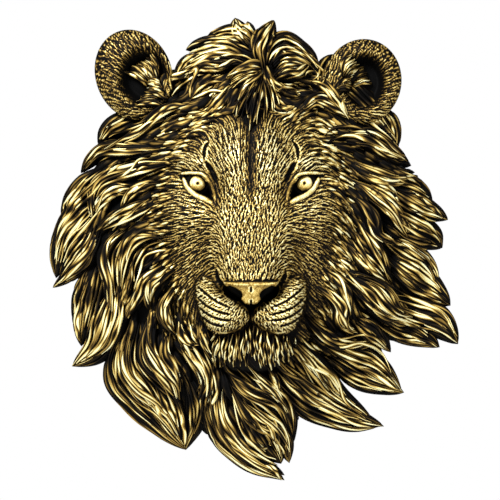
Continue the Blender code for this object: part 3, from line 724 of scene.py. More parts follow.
@dataclass
class Relief:
    """Low relief over a window of the sheet, in metres: hair strokes, raised lines and cut lines.

    Args:
        low: the window's first corner.
        high: its last corner.
        fine: samples a step.
        sway: how far a stroke wavers to each side, in steps.
    """

    low: Point
    high: Point
    fine: int = 3
    sway: float = 0.55
    stride: float = 0.6
    line_stride: float = 0.35
    full_line: float = 0.6 * MM
    surroundings: float = 1.3
    hair: Array = field(init=False)
    lines: Array = field(init=False)
    cuts: Array = field(init=False)

    def __post_init__(self) -> None:
        """Starts from a flat window."""
        shape = tuple(int((self.high[k] - self.low[k]) * self.fine) + 1 for k in (1, 0))
        self.hair, self.lines, self.cuts = np.zeros(shape), np.zeros(shape), np.zeros(shape)

    def dab(self, grid: Array, places: Array, heights: Array, halves: Array, power: float = 0.5) -> None:
        """Raises round dabs on a grid, each keeping what already stands higher.

        Args:
            grid: which of the window's grids.
            places: the dabs' centres on the sheet.
            heights: how high each is, in metres.
            halves: each one's radius, in steps.
            power: 0.5 for a round top, more for a peak.
        """
        centre = (places - np.array(self.low)) * self.fine
        near = np.rint(centre).astype(int)
        reach = int(math.ceil(halves.max() * self.fine))
        for drop in range(-reach, reach + 1):
            for run in range(-reach, reach + 1):
                i, j = near[:, 0] + run, near[:, 1] + drop
                gap = ((i - centre[:, 0]) ** 2 + (j - centre[:, 1]) ** 2) / (halves * self.fine) ** 2
                keep = (gap < 1) & (i >= 0) & (j >= 0) & (i < grid.shape[1]) & (j < grid.shape[0])
                np.maximum.at(grid, (j[keep], i[keep]), heights[keep] * (1 - gap[keep]) ** power)

    def strokes(
        self, flow: Lie, seeds: Array, lengths: Array, half: float, rise: float, rng: np.random.Generator
    ) -> None:
        """Lays short tapering strokes of hair along the flow, each rising towards its tip.

        Args:
            flow: which way the hair lies.
            seeds: the strokes' roots.
            lengths: how long each is, in steps.
            half: half their width, in steps.
            rise: how high they stand, in metres.
            rng: their random draws.
        """
        count = int(lengths.max() / self.stride) + 1
        path = flow.traced(seeds, self.stride, count)
        along = np.arange(count)[:, None] * self.stride / lengths
        own = rng.uniform(0.7, 1.15, len(seeds))
        heading = np.gradient(path, axis=0)
        aside = np.stack(unit(-heading[..., 1], heading[..., 0]), axis=-1)
        bends = np.sin(along * rng.uniform(2.5, 5.5, len(seeds)) + rng.uniform(0, 6.3, len(seeds)))
        path = path + aside * (self.sway * bends)[..., None]
        height = rise * own * (0.55 + 0.45 * np.clip(along, 0, 1) ** 0.8)
        halves = half * (0.75 + 0.25 * own) * (1 - 0.5 * np.clip(along, 0, 1) ** 2)
        keep = along <= 1
        self.dab(self.hair, path[keep], height[keep], halves[keep])

    def line(self, grid: Array, points: Places, half: float, height: float, taper: float = 0.25) -> None:
        """Draws one line, thinner towards its ends, and its twin across the face's axis.

        Args:
            grid: which of the window's grids.
            points: what it goes through, from the face's axis and down the sheet.
            half: half its width, in steps.
            height: how high or deep it is, in metres.
            taper: the share of its length that each end thins over.
        """
        points = np.asarray(points, float)
        length = np.hypot(*np.diff(points, axis=0).T).sum()
        share = np.linspace(0, 1, int(length / self.line_stride) + 2)
        route = curve_through(points, share)
        fade = ease(share, 0, taper) * (1 - ease(share, 1 - taper, 1))
        for sign in (-1, 1):
            place = np.stack([SHEET.axis + sign * route[:, 0], route[:, 1]], axis=-1)
            self.dab(grid, place, height * (0.25 + 0.75 * fade), half * (0.5 + 0.5 * fade), 1.0)

    def height(self) -> Array:
        """The whole relief: hair gives way to lines, and cuts go through both."""
        standing = np.clip(self.lines / self.full_line, 0, 1)
        return self.hair * (1 - 0.75 * standing) + self.lines - self.cuts

    def read(self, grid: Array, across: Array, down: Array) -> Array:
        """A grid's values at places on the sheet."""
        return sampled(grid, across, down, 1 / self.fine, self.low)

    def local(self, height: Array) -> Array:
        """How far each sample of a height stands above those round it."""
        return height - blurred(height, self.surroundings * self.fine)


@dataclass
class Surface:
    """A piece on its way to being gilded.

    Args:
        made: its object.
        crest: for each vertex, 0 in a groove and 1 on a ridge.
        tone: for each vertex, how freely gold was rubbed there, with painted light and shade on the face and
            eyes.
        lay: for each vertex, its place along the hair, in mm, for patterns.
        openness: how freely gold reaches its hollows.
    """

    made: bpy.types.Object
    crest: Array
    tone: Array
    lay: Array
    openness: float = 0.0

    def places(self) -> Array:
        """Where its vertices are."""
        return places_of(self.made.data)


def places_of(mesh: bpy.types.Mesh) -> Array:
    """A mesh's vertices as rows of x, y and z."""
    places = np.empty(len(mesh.vertices) * 3, np.float32)
    mesh.vertices.foreach_get("co", places)
    return places.reshape(-1, 3).astype(float)


def linked(name: str, mesh: bpy.types.Mesh, places: Array | None = None) -> bpy.types.Object:
    """A new smooth-shaded object that rides on the part and stands for the casting's solid.

    Args:
        name: the object's name.
        mesh: its mesh.
        places: where its vertices go, if they aren't there yet.

    Returns:
        The object.
    """
    if places is not None:
        mesh.vertices.foreach_set("co", places.astype(np.float32).ravel())
    mesh.shade_smooth()
    mesh.update()
    made = bpy.data.objects.new(name, mesh)
    bpy.context.scene.collection.objects.link(made)
    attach(made, "root")
    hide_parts("lion_head")
    return made


def mesh_from(bm: bmesh.types.BMesh, name: str) -> bpy.types.Mesh:
    """A mesh datablock from a bmesh, which is freed."""
    mesh = bpy.data.meshes.new(name)
    bm.to_mesh(mesh)
    bm.free()
    return mesh


@dataclass
class Survey:
    """How far the head's front stands off the wall, at every step of the sheet.

    Args:
        surfaces: the pieces surveyed.
    """

    surfaces: list[Surface]
    fronts: Array = field(init=False)
    crests: Array = field(init=False)

    def __post_init__(self) -> None:
        """Takes the foremost vertex at each step, and fills small gaps from beside them."""
        fronts = np.zeros((SHEET.size, SHEET.size))
        for surface in self.surfaces:
            across, down, depth = SHEET.unplace(surface.places())
            i, j = (np.clip(np.rint(places).astype(int), 0, SHEET.size - 1) for places in (across, down))
            np.maximum.at(fronts, (j, i), depth)
        for _ in range(2):
            fronts = np.where(fronts > 0, fronts, self.widened(fronts))
        self.fronts = fronts
        self.crests = blurred(self.widened(self.widened(fronts)), 1.6)

    @staticmethod
    def widened(fronts: Array) -> Array:
        """Each step raised to the highest beside it."""
        wider = fronts.copy()
        for run, axis in ((1, 0), (-1, 0), (1, 1), (-1, 1)):
            wider = np.maximum(wider, np.roll(fronts, run, axis))
        return wider

    def mean(self, spread: float, empty: float = 0.2) -> Array:
        """The front smoothed over a spread of steps, with the empty ground counting only a little."""
        weight = np.where(self.fronts > 0, 1.0, empty)
        return blurred(self.fronts * weight, spread) / blurred(weight, spread)

    def top(self, across: Array, down: Array) -> Array:
        """What a strand laid over everything else would rest on."""
        return sampled(self.crests, across, down, 1.0)


@dataclass(frozen=True)
class Spine:
    """A lock's spine, station by station from root to tip.

    Args:
        stations: shares of its length.
        places: where each station is, in metres.
        across: the direction across the lock at each.
        out: the direction out of its front.
        wide: half its width.
        thick: how far its front stands off its middle.
    """

    stations: Array
    places: Array
    across: Array
    out: Array
    wide: Array
    thick: Array

    def at(self, share: Array, rows: Array) -> Array:
        """Rows of the spine's values, read at shares of its length."""
        return np.stack([np.interp(share, self.stations, row) for row in rows.T], axis=-1)


@dataclass
class Hair:
    """Makes locks: each a ball drawn out along a spine, with its front ploughed into strands.

    Args:
        ground: the depth of what the locks lie on.
        strand: a strand's width, in steps.
        groove: how deep the strands are cut.
        per_strand: mesh columns on each strand.
        stride: steps between a lock's rings.
    """

    ground: Depth
    strand: float = 3.2
    groove: float = 1.1 * MM
    per_strand: int = 4
    stride: float = 2.2
    fewest: int = 2
    wave: float = 0.5
    wave_run: float = 42
    sway: float = 0.4
    wall_depth: float = 7 * MM
    lift: float = 3.4 * MM
    sink: float = 5.5 * MM
    root: float = 0.26
    stock: float = 3 * MM
    fold: float = 1.9 * MM
    strand_tones: tuple[float, float] = (0.55, 1.2)
    roundness: float = 0.55
    fullness: float = 1.12
    widest: float = 0.42
    tip_width: float = 2.6
    tip_thick: float = 1.3 * MM
    least: float = 0.3 * MM
    stations: int = 61
    smoothings: int = 12
    front_turn: float = 1.35
    group_chance: float = 0.42
    balls: dict[tuple[int, int], bpy.types.Mesh] = field(default_factory=dict)

    def ball(self, around: int, along: int) -> bpy.types.Mesh:
        """The unit ball that a lock is drawn from, made once for each size of mesh."""
        if (around, along) not in self.balls:
            bm = bmesh.new()
            bmesh.ops.create_uvsphere(bm, u_segments=around, v_segments=along, radius=1)
            self.balls[around, along] = mesh_from(bm, "ball")
        return self.balls[around, along]

    def spine(self, lock: Lock, spans: float, half: float, rng: np.random.Generator) -> Spine:
        """A lock's spine, laid over the ground.

        Args:
            lock: the lock.
            spans: how long it is, in steps.
            half: half its greatest width, in metres.
            rng: its random draws.

        Returns:
            The spine.
        """
        stations = np.linspace(0, 1, self.stations)
        last = np.subtract(lock.points[-1], lock.points[-2])
        tip = lock.points[-1] + lock.run * last / np.hypot(*last)
        route = curve_through([*lock.points[:-1], tip], stations)
        heading = np.gradient(route, axis=0)
        aside = np.stack(unit(-heading[:, 1], heading[:, 0]), axis=-1)
        bends = np.sin(2 * math.pi * stations * spans / self.wave_run + rng.uniform(0, 2 * math.pi))
        route = route + aside * (self.wave * bends * np.sin(0.9 * math.pi * stations))[:, None]
        depth = np.maximum(self.ground(route[:, 0], route[:, 1]), self.wall_depth)
        for _ in range(self.smoothings):
            depth[1:-1] = (depth[:-2] + 2 * depth[1:-1] + depth[2:]) / 4
        arch = np.sin(math.pi * np.clip(stations * 0.85 + 0.15, 0, 1)) ** 0.6
        depth = depth + self.lift * (lock.layer - 1) * arch - self.sink * (1 - ease(stations, 0, 0.35))
        places = SHEET.place(route[:, 0], route[:, 1], depth)
        along = np.gradient(places, axis=0)
        along /= np.linalg.norm(along, axis=1, keepdims=True)
        out = normal_of(self.ground, route[:, 0], route[:, 1])
        across = np.cross(along, out)
        across /= np.linalg.norm(across, axis=1, keepdims=True)
        past = np.clip((stations - self.widest) / (1 - self.widest), 0, 1)
        rooted = self.root + (1 - self.root) * ease(stations, 0, self.widest)
        swell = np.where(past > 0, (1 - past**2.1) ** 0.85, rooted)
        wide = np.maximum(half * swell, self.tip_width / 2 * STEP)
        thick = self.roundness * half * swell + self.stock * np.clip(swell * 2, 0, 1)
        thick = np.maximum(thick, self.tip_thick)
        return Spine(stations, places, across, np.cross(across, along), wide, thick)

    def drawn(self, lock: Lock, rng: np.random.Generator) -> Drawn:
        """One lock.

        Args:
            lock: its spine and size.
            rng: its random draws.

        Returns:
            The ball it is made from, and its vertices' places, crests, tones and lay.
        """
        count = max(self.fewest, round(lock.width / self.strand))
        front_columns = self.per_strand * count
        around = front_columns + max(4, count)
        spans = np.hypot(*np.diff(np.array(lock.points, float), axis=0).T).sum()
        mesh = self.ball(around, max(10, round(spans / self.stride)))
        ball = places_of(mesh)
        share = np.arccos(np.clip(ball[:, 2], -1, 1)) / math.pi
        turn = (np.arctan2(ball[:, 1], ball[:, 0]) / (2 * math.pi)) % 1
        column = np.rint(turn * around).astype(int) % around
        front = column <= front_columns
        half = self.fullness * lock.width / 2 * STEP
        spine = self.spine(lock, spans, half, rng)

        # The strands, side by side over the front, each as wide as it happens to be
        edges = np.concatenate([[0], np.cumsum(rng.uniform(0.7, 1.3, count))])
        edges = edges / edges[-1] * 2 - 1
        own = rng.uniform(0.72, 1.25, count)
        phase = rng.uniform(0, 2 * math.pi, 4)
        strand = np.minimum(column // self.per_strand, count - 1)
        within = np.clip((column - strand * self.per_strand) / self.per_strand, 0, 1)
        on_strand = (1 - np.cos(math.pi * within)) / 2
        place = edges[strand] + (edges[strand + 1] - edges[strand]) * on_strand
        sway = np.sin(2.2 * math.pi * share + phase[0])
        sway = sway + 0.6 * np.sin(5.1 * math.pi * share + phase[1] + 2 * place)
        place = place + (1 - place**2) * sway * self.sway / count
        back_share = (column - front_columns) / (around - front_columns)
        place = np.where(front, place, 1 - 2 * back_share)
        side = np.sin(place * self.front_turn) / math.sin(self.front_turn)
        crown = np.sqrt(np.clip(1 - np.abs(side) ** 2.4, 0, 1))
        bead = np.where(front, np.sin(math.pi * within), 0)
        height = own[strand] * (0.8 + 0.2 * np.sin(4 * math.pi * share + phase[2] + 2.4 * strand))

        # Neighbouring strands gathered in groups that swell out together
        starts = np.arange(0, count, 1)[np.concatenate([[True], rng.random(count - 1) < self.group_chance])]
        starts = np.append(starts, count)
        group = np.searchsorted(starts, strand, side="right") - 1
        low, high = edges[starts[group]], edges[starts[group + 1]]
        bulge = np.sin(math.pi * np.clip((place - low) / (high - low), 0.0, 1)) ** 0.7
        bulge = np.where(front & (len(starts) > 2), bulge, 1.0)
        stand = rng.uniform(0.6, 1.3, len(starts))[group]
        fold = self.fold * min(1.0, half / (6 * MM)) * (bulge * stand - 0.8) * (len(starts) > 2)

        # Its vertices, and how gold lies on them
        cap = np.clip(np.minimum(share / 0.05, (1 - share) / 0.03), 0, 1) ** 0.5
        wide = np.interp(share, spine.stations, spine.wide)
        thick = np.interp(share, spine.stations, spine.thick)
        relief = (self.groove * (bead - 0.6) * height + fold) * np.clip(wide / half, 0, 1) ** 0.6
        rise = np.where(front, crown * thick + relief, -crown * thick)
        places = (
            spine.at(share, spine.places)
            + spine.at(share, spine.across) * (side * cap * wide)[:, None]
            + spine.at(share, spine.out) * (rise * cap)[:, None]
        )
        places[:, 1] = np.minimum(places[:, 1], -self.least)
        beaded = np.where(front, bead * np.clip(height, 0, 1.1) / 1.1, 0)
        crest = beaded * (0.55 + 0.45 * crown) * (0.45 + 0.55 * bulge)
        tone = rng.uniform(*self.strand_tones, count)[strand] * rng.uniform(0.75, 1.2, len(starts))[group]
        tone = tone * (0.45 + 0.55 * ease(share, 0.02, 0.3))
        tone = tone * (0.9 + 0.22 * np.sin(7 * share + phase[3] + strand))
        apart = np.full(len(share), rng.uniform(0, 900))
        lay = np.stack([place * half / MM, share * spans * STEP / MM, apart], axis=-1)
        return mesh, places, crest, tone, lay

    def piece(
        self,
        name: str,
        rows: Iterable[Lock],
        rng: np.random.Generator,
        tone: float = 1.0,
        openness: float = 0.0,
    ) -> Surface:
        """Several locks as one piece.

        Args:
            name: the piece's name.
            rows: its locks.
            rng: their random draws.
            tone: how freely gold was rubbed on them.
            openness: how freely gold reaches their hollows.

        Returns:
            The piece, ready to be gilded.
        """
        bm = bmesh.new()
        places, crests, lays, tones = [], [], [], []
        for lock in rows:
            mesh, place, crest, own_tone, lay = self.drawn(lock, rng)
            bm.from_mesh(mesh)
            places.append(place)
            crests.append(crest)
            lays.append(lay)
            tones.append(own_tone * tone * rng.uniform(0.85, 1.15))
        made = linked(name, mesh_from(bm, name), np.vstack(places))
        return Surface(made, np.concatenate(crests), np.concatenate(tones), np.vstack(lays), openness)


def halves(rows: list[Lock]) -> tuple[list[Lock], list[Lock]]:
    """Locks whose roots lie left of the mount, and the rest."""
    left = [lock for lock in rows if lock.points[0][0] < SHEET.mount[0]]
    return left, [lock for lock in rows if lock.points[0][0] >= SHEET.mount[0]]


@dataclass(frozen=True)
class Mane:
    """The mane: its main locks by quarter, and the undercoat that fills between them."""

    low: Point = (40, 20)
    high: Point = (470, 480)
    oval: Point = (88, 122)
    undercoat_gap: float = 12.5
    undercoat_stride: float = 2.7
    undercoat_tone: float = 0.62
    tone: float = 0.95
    undercoat_width: tuple[float, float] = (7, 10.5)
    undercoat_length: tuple[float, float] = (26, 42)
    undercoat_layer: tuple[float, float] = (0.9, 1.5)
    seed: int = 11

    @staticmethod
    def ground(across: Array, down: Array) -> Array:
        """What the locks lie on: the dome, and the swell of the face under them."""
        return FORM.dome_depth(across, down) + np.clip(FORM.face_depth(across, down), 0, None)

    def undercoat(self, flow: Flow, rng: np.random.Generator) -> list[Lock]:
        """Small locks strewn between the face and the outline, lying with the hair round them.

        Args:
            flow: which way the hair lies.
            rng: their random draws.

        Returns:
            The locks.
        """
        seeds = jittered(self.low, self.high, self.undercoat_gap, rng)
        side, up = sides(seeds[:, 0]), seeds[:, 1] - FORM.oval_down
        reach = np.hypot(side / self.oval[0], up / self.oval[1])
        rim = FORM.rim_share(seeds[:, 0], seeds[:, 1])
        seeds = seeds[(reach > 1) & (rim < 0.95)]
        path = flow.traced(seeds, 2.0, 22)
        made = []
        for k in range(len(seeds)):
            length = rng.uniform(*self.undercoat_length)
            width = rng.uniform(*self.undercoat_width)
            layer = rng.uniform(*self.undercoat_layer)
            ends = FORM.rim_share(path[:, k, 0], path[:, k, 1]) > 1.04
            most = np.argmax(ends) if ends.any() else len(path) - 1
            last = max(4, min(int(length / 2), most))
            picks = np.rint(np.linspace(0, last, 4)).astype(int)
            points = tuple((path[i, k, 0], path[i, k, 1]) for i in picks)
            made.append(Lock(points, width, layer, 1.0))
        return made

    def surfaces(self, flow: Flow) -> list[Surface]:
        """Its pieces.

        Args:
            flow: which way the hair lies.

        Returns:
            The undercoat's two halves, and the main locks' four quarters.
        """
        rng = np.random.default_rng(self.seed)
        hair, small = Hair(self.ground), Hair(self.ground, stride=self.undercoat_stride)
        left, right = halves(self.undercoat(flow, rng))
        return [
            small.piece("undercoat_left", left, rng, self.undercoat_tone),
            small.piece("undercoat_right", right, rng, self.undercoat_tone),
            hair.piece("mane_left", LEFT_LOCKS, rng, self.tone),
            hair.piece("mane_beard", BEARD_LOCKS, rng, self.tone),
            hair.piece("mane_right", RIGHT_LOCKS, rng, self.tone),
            hair.piece("mane_crown", CROWN_LOCKS, rng, self.tone),
        ]


@dataclass(frozen=True)
class Ruff:
    """Fine wavy strands where the face's fur grows out into the mane."""

    low: Point = (120, 60)
    high: Point = (385, 400)
    gap: float = 5.2
    band: tuple[float, float] = (0.80, 1.2)
    widths: tuple[float, float] = (2.3, 3.7)
    lengths: tuple[float, float] = (16, 36)
    wave: float = 1.3
    tone: float = 1.0
    openness: float = 0.5
    seed: int = 17

    def rows(self, flow: Flow, rng: np.random.Generator) -> list[Lock]:
        """Its strands.

        Args:
            flow: which way the hair lies.
            rng: their random draws.

        Returns:
            The strands, as thin locks.
        """
        seeds = jittered(self.low, self.high, self.gap, rng)
        side, down = sides(seeds[:, 0]), seeds[:, 1]
        reach = FORM.oval_share(seeds[:, 0], down)
        in_band = (reach > self.band[0]) & (reach < self.band[1]) & ((side > 44) | (down < 200))
        seeds = seeds[in_band & (FORM.pad_share(seeds[:, 0], down) < -0.5)]
        path = flow.traced(seeds, 1.0, int(self.lengths[1]) + 2)
        made = []
        for k in range(len(seeds)):
            length = rng.uniform(*self.lengths)
            picks = np.rint(np.linspace(0, length, 5)).astype(int)
            route = path[picks, k]
            heading = route[-1] - route[0]
            aside = np.array([-heading[1], heading[0]]) / (np.hypot(*heading) + 1e-6)
            sway = self.wave * np.sin(np.linspace(0, 5.0, 5) + rng.uniform(0, 6.3)) * np.linspace(0.2, 1, 5)
            points = tuple(tuple(p) for p in route + aside * sway[:, None])
            made.append(Lock(points, rng.uniform(*self.widths), rng.uniform(0.95, 1.75), 0.5))
        return made

    def surfaces(self, flow: Flow) -> list[Surface]:
        """Its pieces.

        Args:
            flow: which way the hair lies.

        Returns:
            Its left and right halves.
        """
        rng = np.random.default_rng(self.seed)
        hair = Hair(
            FORM.depth, strand=4, groove=0.5 * MM, fewest=1, stride=2.5, sink=1.8 * MM, root=0.35, wave=0,
            stock=0.8 * MM, roundness=0.5, tip_width=1.0, tip_thick=0.5 * MM,
        )
        rows = zip(("ruff_left", "ruff_right"), halves(self.rows(flow, rng)))
        return [hair.piece(name, half, rng, self.tone, self.openness) for name, half in rows]


@dataclass(frozen=True)
class Chin:
    """The chin's short beard: rows of separate strands that hang and fan out a little."""

    half: float = 38
    gap: float = 3.7
    # The pads' lower edge, where the strands are rooted: steps from the face's axis, and steps down
    roots: tuple[tuple[float, ...], tuple[float, ...]] = ((0, 10, 25, 35, 43), (318, 328, 332, 331, 326))
    steps_down: tuple[float, ...] = (0, 9, 19)
    lengths: tuple[tuple[float, float], ...] = ((25, 34), (20, 29), (16, 25))
    fan: float = 0.26
    round_off: float = 10
    scatter: float = 2
    widths: tuple[float, float] = (1.5, 2.4)
    wave: float = 1.1
    tone: float = 1.15
    openness: float = 0.7
    seed: int = 37

    def rows(self, rng: np.random.Generator) -> list[Lock]:
        """Its strands.

        Args:
            rng: their random draws.

        Returns:
            The strands, as thin locks.
        """
        made = []
        along = np.linspace(0, 1, 5)
        for row, (drop, lengths) in enumerate(zip(self.steps_down, self.lengths)):
            starts = np.arange(-self.half + (row % 2) * self.gap / 2, self.half, self.gap)
            for start in starts + rng.uniform(-0.6, 0.6, len(starts)):
                rounded = self.round_off * (start / self.half) ** 2
                lifted = rounded * row / 2 + rng.uniform(-1, 1) * self.scatter
                length = rng.uniform(*lengths) - rounded * (2 - row) / 2
                sway = self.wave * np.sin(along * 6 + rng.uniform(0, 6.3))
                across = SHEET.axis + start * (0.94 + self.fan * (row + along) / 2) + sway
                down = np.interp(abs(start), *self.roots) + drop - lifted + length * along
                points = tuple(zip(across.tolist(), down.tolist()))
                made.append(Lock(points, rng.uniform(*self.widths), 1.3 + 0.3 * (2 - row), 0.5))
        return made

    def surfaces(self) -> list[Surface]:
        """Its one piece."""
        rng = np.random.default_rng(self.seed)
        hair = Hair(
            FORM.depth, strand=4, groove=0.4 * MM, fewest=1, stride=1.9, sink=1.5 * MM, root=0.4, wave=0,
            stock=0.9 * MM, roundness=0.5, tip_width=0.9, tip_thick=0.5 * MM, strand_tones=(0.75, 1.2),
        )
        return [hair.piece("chin_beard", self.rows(rng), rng, self.tone, self.openness)]


def disc_grid(bm: bmesh.types.BMesh, cells_across: int, cells_down: int) -> Array:
    """Adds a flat grid to a bmesh.

    Args:
        bm: the bmesh.
        cells_across: how many cells wide it is.
        cells_down: how many high.

    Returns:
        Where its vertices are when it is drawn out to a round disc of radius 1.
    """
    bmesh.ops.create_grid(bm, x_segments=cells_across, y_segments=cells_down, size=1)
    flat = np.array([v.co[:2] for v in bm.verts])
    p = flat[:, 0] * np.sqrt(1 - flat[:, 1] ** 2 / 2)
    q = flat[:, 1] * np.sqrt(1 - flat[:, 0] ** 2 / 2)
    return np.stack([p, q], axis=-1)


def closed_behind(bm: bmesh.types.BMesh, back: Callable[[Vector], float]) -> list[bmesh.types.BMEdge]:
    """Draws a sheet's rim straight back.

    Args:
        bm: the sheet.
        back: how far back each place of the rim goes.

    Returns:
        The loop of edges that it ends in.
    """
    rim = [e for e in bm.edges if e.is_boundary]
    made = bmesh.ops.extrude_edge_only(bm, edges=rim)["geom"]
    for v in (g for g in made if isinstance(g, bmesh.types.BMVert)):
        v.co.y = back(v.co)
    return [g for g in made if isinstance(g, bmesh.types.BMEdge) and g.is_boundary]


@dataclass(frozen=True)
class Face:
    """The face: a mask over the core, with its fur, wrinkles, lids, nose and whisker rows in relief.

    Its lines are places from the face's axis and down the sheet, and are drawn on both sides.
    """

    centre: Point = (251, 230)
    reach: Point = (98, 144)
    cells: tuple[int, int] = (256, 368)
    low: Point = (140, 80)
    high: Point = (362, 384)
    behind: float = 8 * MM
    rim_sink: float = 3 * MM
    eye_sink: float = 6 * MM
    seed: int = 5
    fine: int = 4
    fur_gap: float = 2.3
    # The least and greatest stroke near the mane, on the rest of the face, and on its bridge, pads and chin
    fur_lengths: tuple[Point, ...] = ((11, 20), (8, 14), (5, 7.5), (3.5, 5), (11, 16))
    fur_stroke: tuple[float, float] = (0.88, 1.2 * MM)
    pad_stroke: tuple[float, float] = (0.85, 1.1 * MM)
    lids: tuple[Places, ...] = (
        ((71, 175), (58, 174.5), (47.5, 176), (40.5, 183.5), (36.5, 193), (35, 204)),
        ((66.5, 178), (62.7, 188.2), (54.3, 196), (45.3, 200.2), (37.5, 204)),
    )
    lid_halves: tuple[float, ...] = (1.8, 2.9)
    lid_rise: float = 1.4 * MM
    ridges: tuple[Places, ...] = (
        ((31, 199), (36.5, 213), (38.5, 236), (37, 248), (39, 262)),
        ((38, 278), (28, 290), (15, 298.5), (5, 307), (1, 315)),
        ((5, 321), (15, 329), (28, 331), (37, 328)),
        ((25, 281.5), (12, 283.6), (0, 283.2)),
        ((25.5, 282), (28.5, 288), (24, 296), (15, 300.5)),
    )
    ridge_rises: tuple[float, ...] = (0.4 * MM, 0.9 * MM, 0.8 * MM, 0.8 * MM, 0.8 * MM)
    ridge_half: float = 1.4
    whisker_half: float = 1.7
    whisker_depth: float = 1.5 * MM
    whiskers: tuple[Places, ...] = (
        ((53, 284.5), (42.3, 293.6), (32.4, 300.5), (19.5, 306)),
        ((53.5, 295.5), (42.8, 304.3), (31, 310), (18, 313)),
        ((51.5, 305.5), (41.5, 312.8), (30, 317.3), (17, 318.5)),
        ((48.5, 315), (38.5, 321.3), (27, 324.3)),
    )
    slits: tuple[Places, ...] = (
        ((44, 164), (38, 173), (32.5, 186)),
        ((41.5, 144), (45.5, 151), (46, 161)),
        ((34, 270), (32, 278), (27, 286), (22, 291)),
        ((0, 285.5), (0, 291)),
        ((0, 298), (0, 305)),
    )
    slit_halves: tuple[float, ...] = (3.2, 2.2, 2.9, 1.2, 1.3)
    slit_depth: float = 2.0 * MM
    plain_tone: float = 0.7
    # Painted light and shade besides more gold: the forehead's two bulges, the brows and the cheekbones are
    # painted lighter, and the forehead under the forelock darker.
    tones: tuple[Swell, ...] = (
        Swell(0.22, (19, 150), (17, 32)),  # forehead
        Swell(0.2, (62, 162), (26, 8), -10),  # brow
        Swell(0.08, (72, 205), (20, 30)),  # cheekbone
        Swell(-0.2, (0, 110), (60, 22)),  # under the forelock
    )
    # Painted shade in the hollows at the sides of the cheeks and the eyes' inner corners.
    hollows: tuple[Swell, ...] = (
        Swell(0.25, (86, 240), (22, 50)),  # side of the cheek
        Swell(0.5, (38, 186), (7, 20), 10),  # inner corner of the eye
    )
    base_crest: float = 0.3
    fur_relief: float = 0.28 * MM
    line_relief: float = 0.9 * MM
    leather_crest: float = 0.68
    openness: float = 0.28

    def relief(self, flow: Flow) -> Relief:
        """Its fur and lines.

        Args:
            flow: which way the fur lies.

        Returns:
            The relief over its window.
        """
        rng = np.random.default_rng(self.seed)
        relief = Relief(self.low, self.high, self.fine)
        seeds = jittered(self.low, self.high, self.fur_gap, rng)
        side, down = sides(seeds[:, 0]), seeds[:, 1]
        on_bridge = (side < 36) & (down > 178) & (down < 280)
        on_pad = FORM.pad_share(seeds[:, 0], seeds[:, 1]) > 0
        on_chin = (down > 326) & (side < 40) & ~on_pad
        outer, inner, bridge, pad, chin = [rng.uniform(*pair, len(side)) for pair in self.fur_lengths]
        lengths = np.where(FORM.oval_share(seeds[:, 0], down) > 0.75, outer, inner)
        for where, own in ((on_bridge, bridge), (on_pad, pad), (on_chin, chin)):
            lengths = np.where(where, own, lengths)
        off_nose = FORM.leather_share(seeds[:, 0], seeds[:, 1]) < 0.05
        keep = (FORM.outside_opening(side, down) > 3) & off_nose
        for where, stroke in ((keep & ~on_pad, self.fur_stroke), (keep & on_pad, self.pad_stroke)):
            relief.strokes(flow, seeds[where], lengths[where], *stroke, rng)
        for points, half in zip(self.lids, self.lid_halves):
            relief.line(relief.lines, points, half, self.lid_rise, 0.1)
        for points, rise in zip(self.ridges, self.ridge_rises):
            relief.line(relief.lines, points, self.ridge_half, rise)
        for points in self.whiskers:
            relief.line(relief.cuts, points, self.whisker_half, self.whisker_depth, 0.15)
        for points, half in zip(self.slits, self.slit_halves):
            relief.line(relief.cuts, points, half, self.slit_depth)
        return relief

    def tone(self, across: Array, down: Array) -> Array:
        """How freely gold was rubbed over it, with painted light and shade: more on the brows and bridge,
        none in the hollows.

        Args:
            across, down: places on the sheet.

        Returns:
            The tone at each.
        """
        side = sides(across)
        tone = self.plain_tone
        for swell in self.tones:
            tone = tone + swell.at(side, down)
        # The leather is painted darker but for its middle: partly its own duller gold, partly painted shade
        # on its sides.
        off_tip = 1 - hill(side, down, (0, 294), (9, 12))
        tone = tone * (1 - 0.25 * FORM.leather_share(across, down) * off_tip)
        # Painted shade under the muzzle pads, over the mouth and the top of the chin.
        off_pad = 1 - ease(FORM.pad_share(across, down), -0.1, 0.1)
        below = off_pad * ease(down, 318, 330) * (1 - ease(side, 40, 50))
        tone = tone * (1 - 0.8 * below)
        # Painted shade along the forehead's furrow, widest under the forelock.
        furrow_shade = ease(down, 92, 106) * (1 - ease(down, 190, 206))
        half = np.interp(down, (95, 125, 150, 200), (12, 8, 5, 3.5))
        tone = tone * (1 - 0.6 * np.exp(-((side / half) ** 2)) * furrow_shade)
        # Painted shade in the hollows beside the cheeks and the eyes.
        for hollow in self.hollows:
            tone = tone * (1 - hollow.at(side, down))
        outside = FORM.outside_opening(side, down)
        tone = tone * ease(outside, -0.4, 0.8)
        tone = tone * (1 - FORM.nostril_share(across, down))
        parting = ease(down, 302, 305) * (1 - ease(down, 310, 317))
        return tone * (1 - 0.95 * np.exp(-((side / 3.5) ** 2)) * parting)

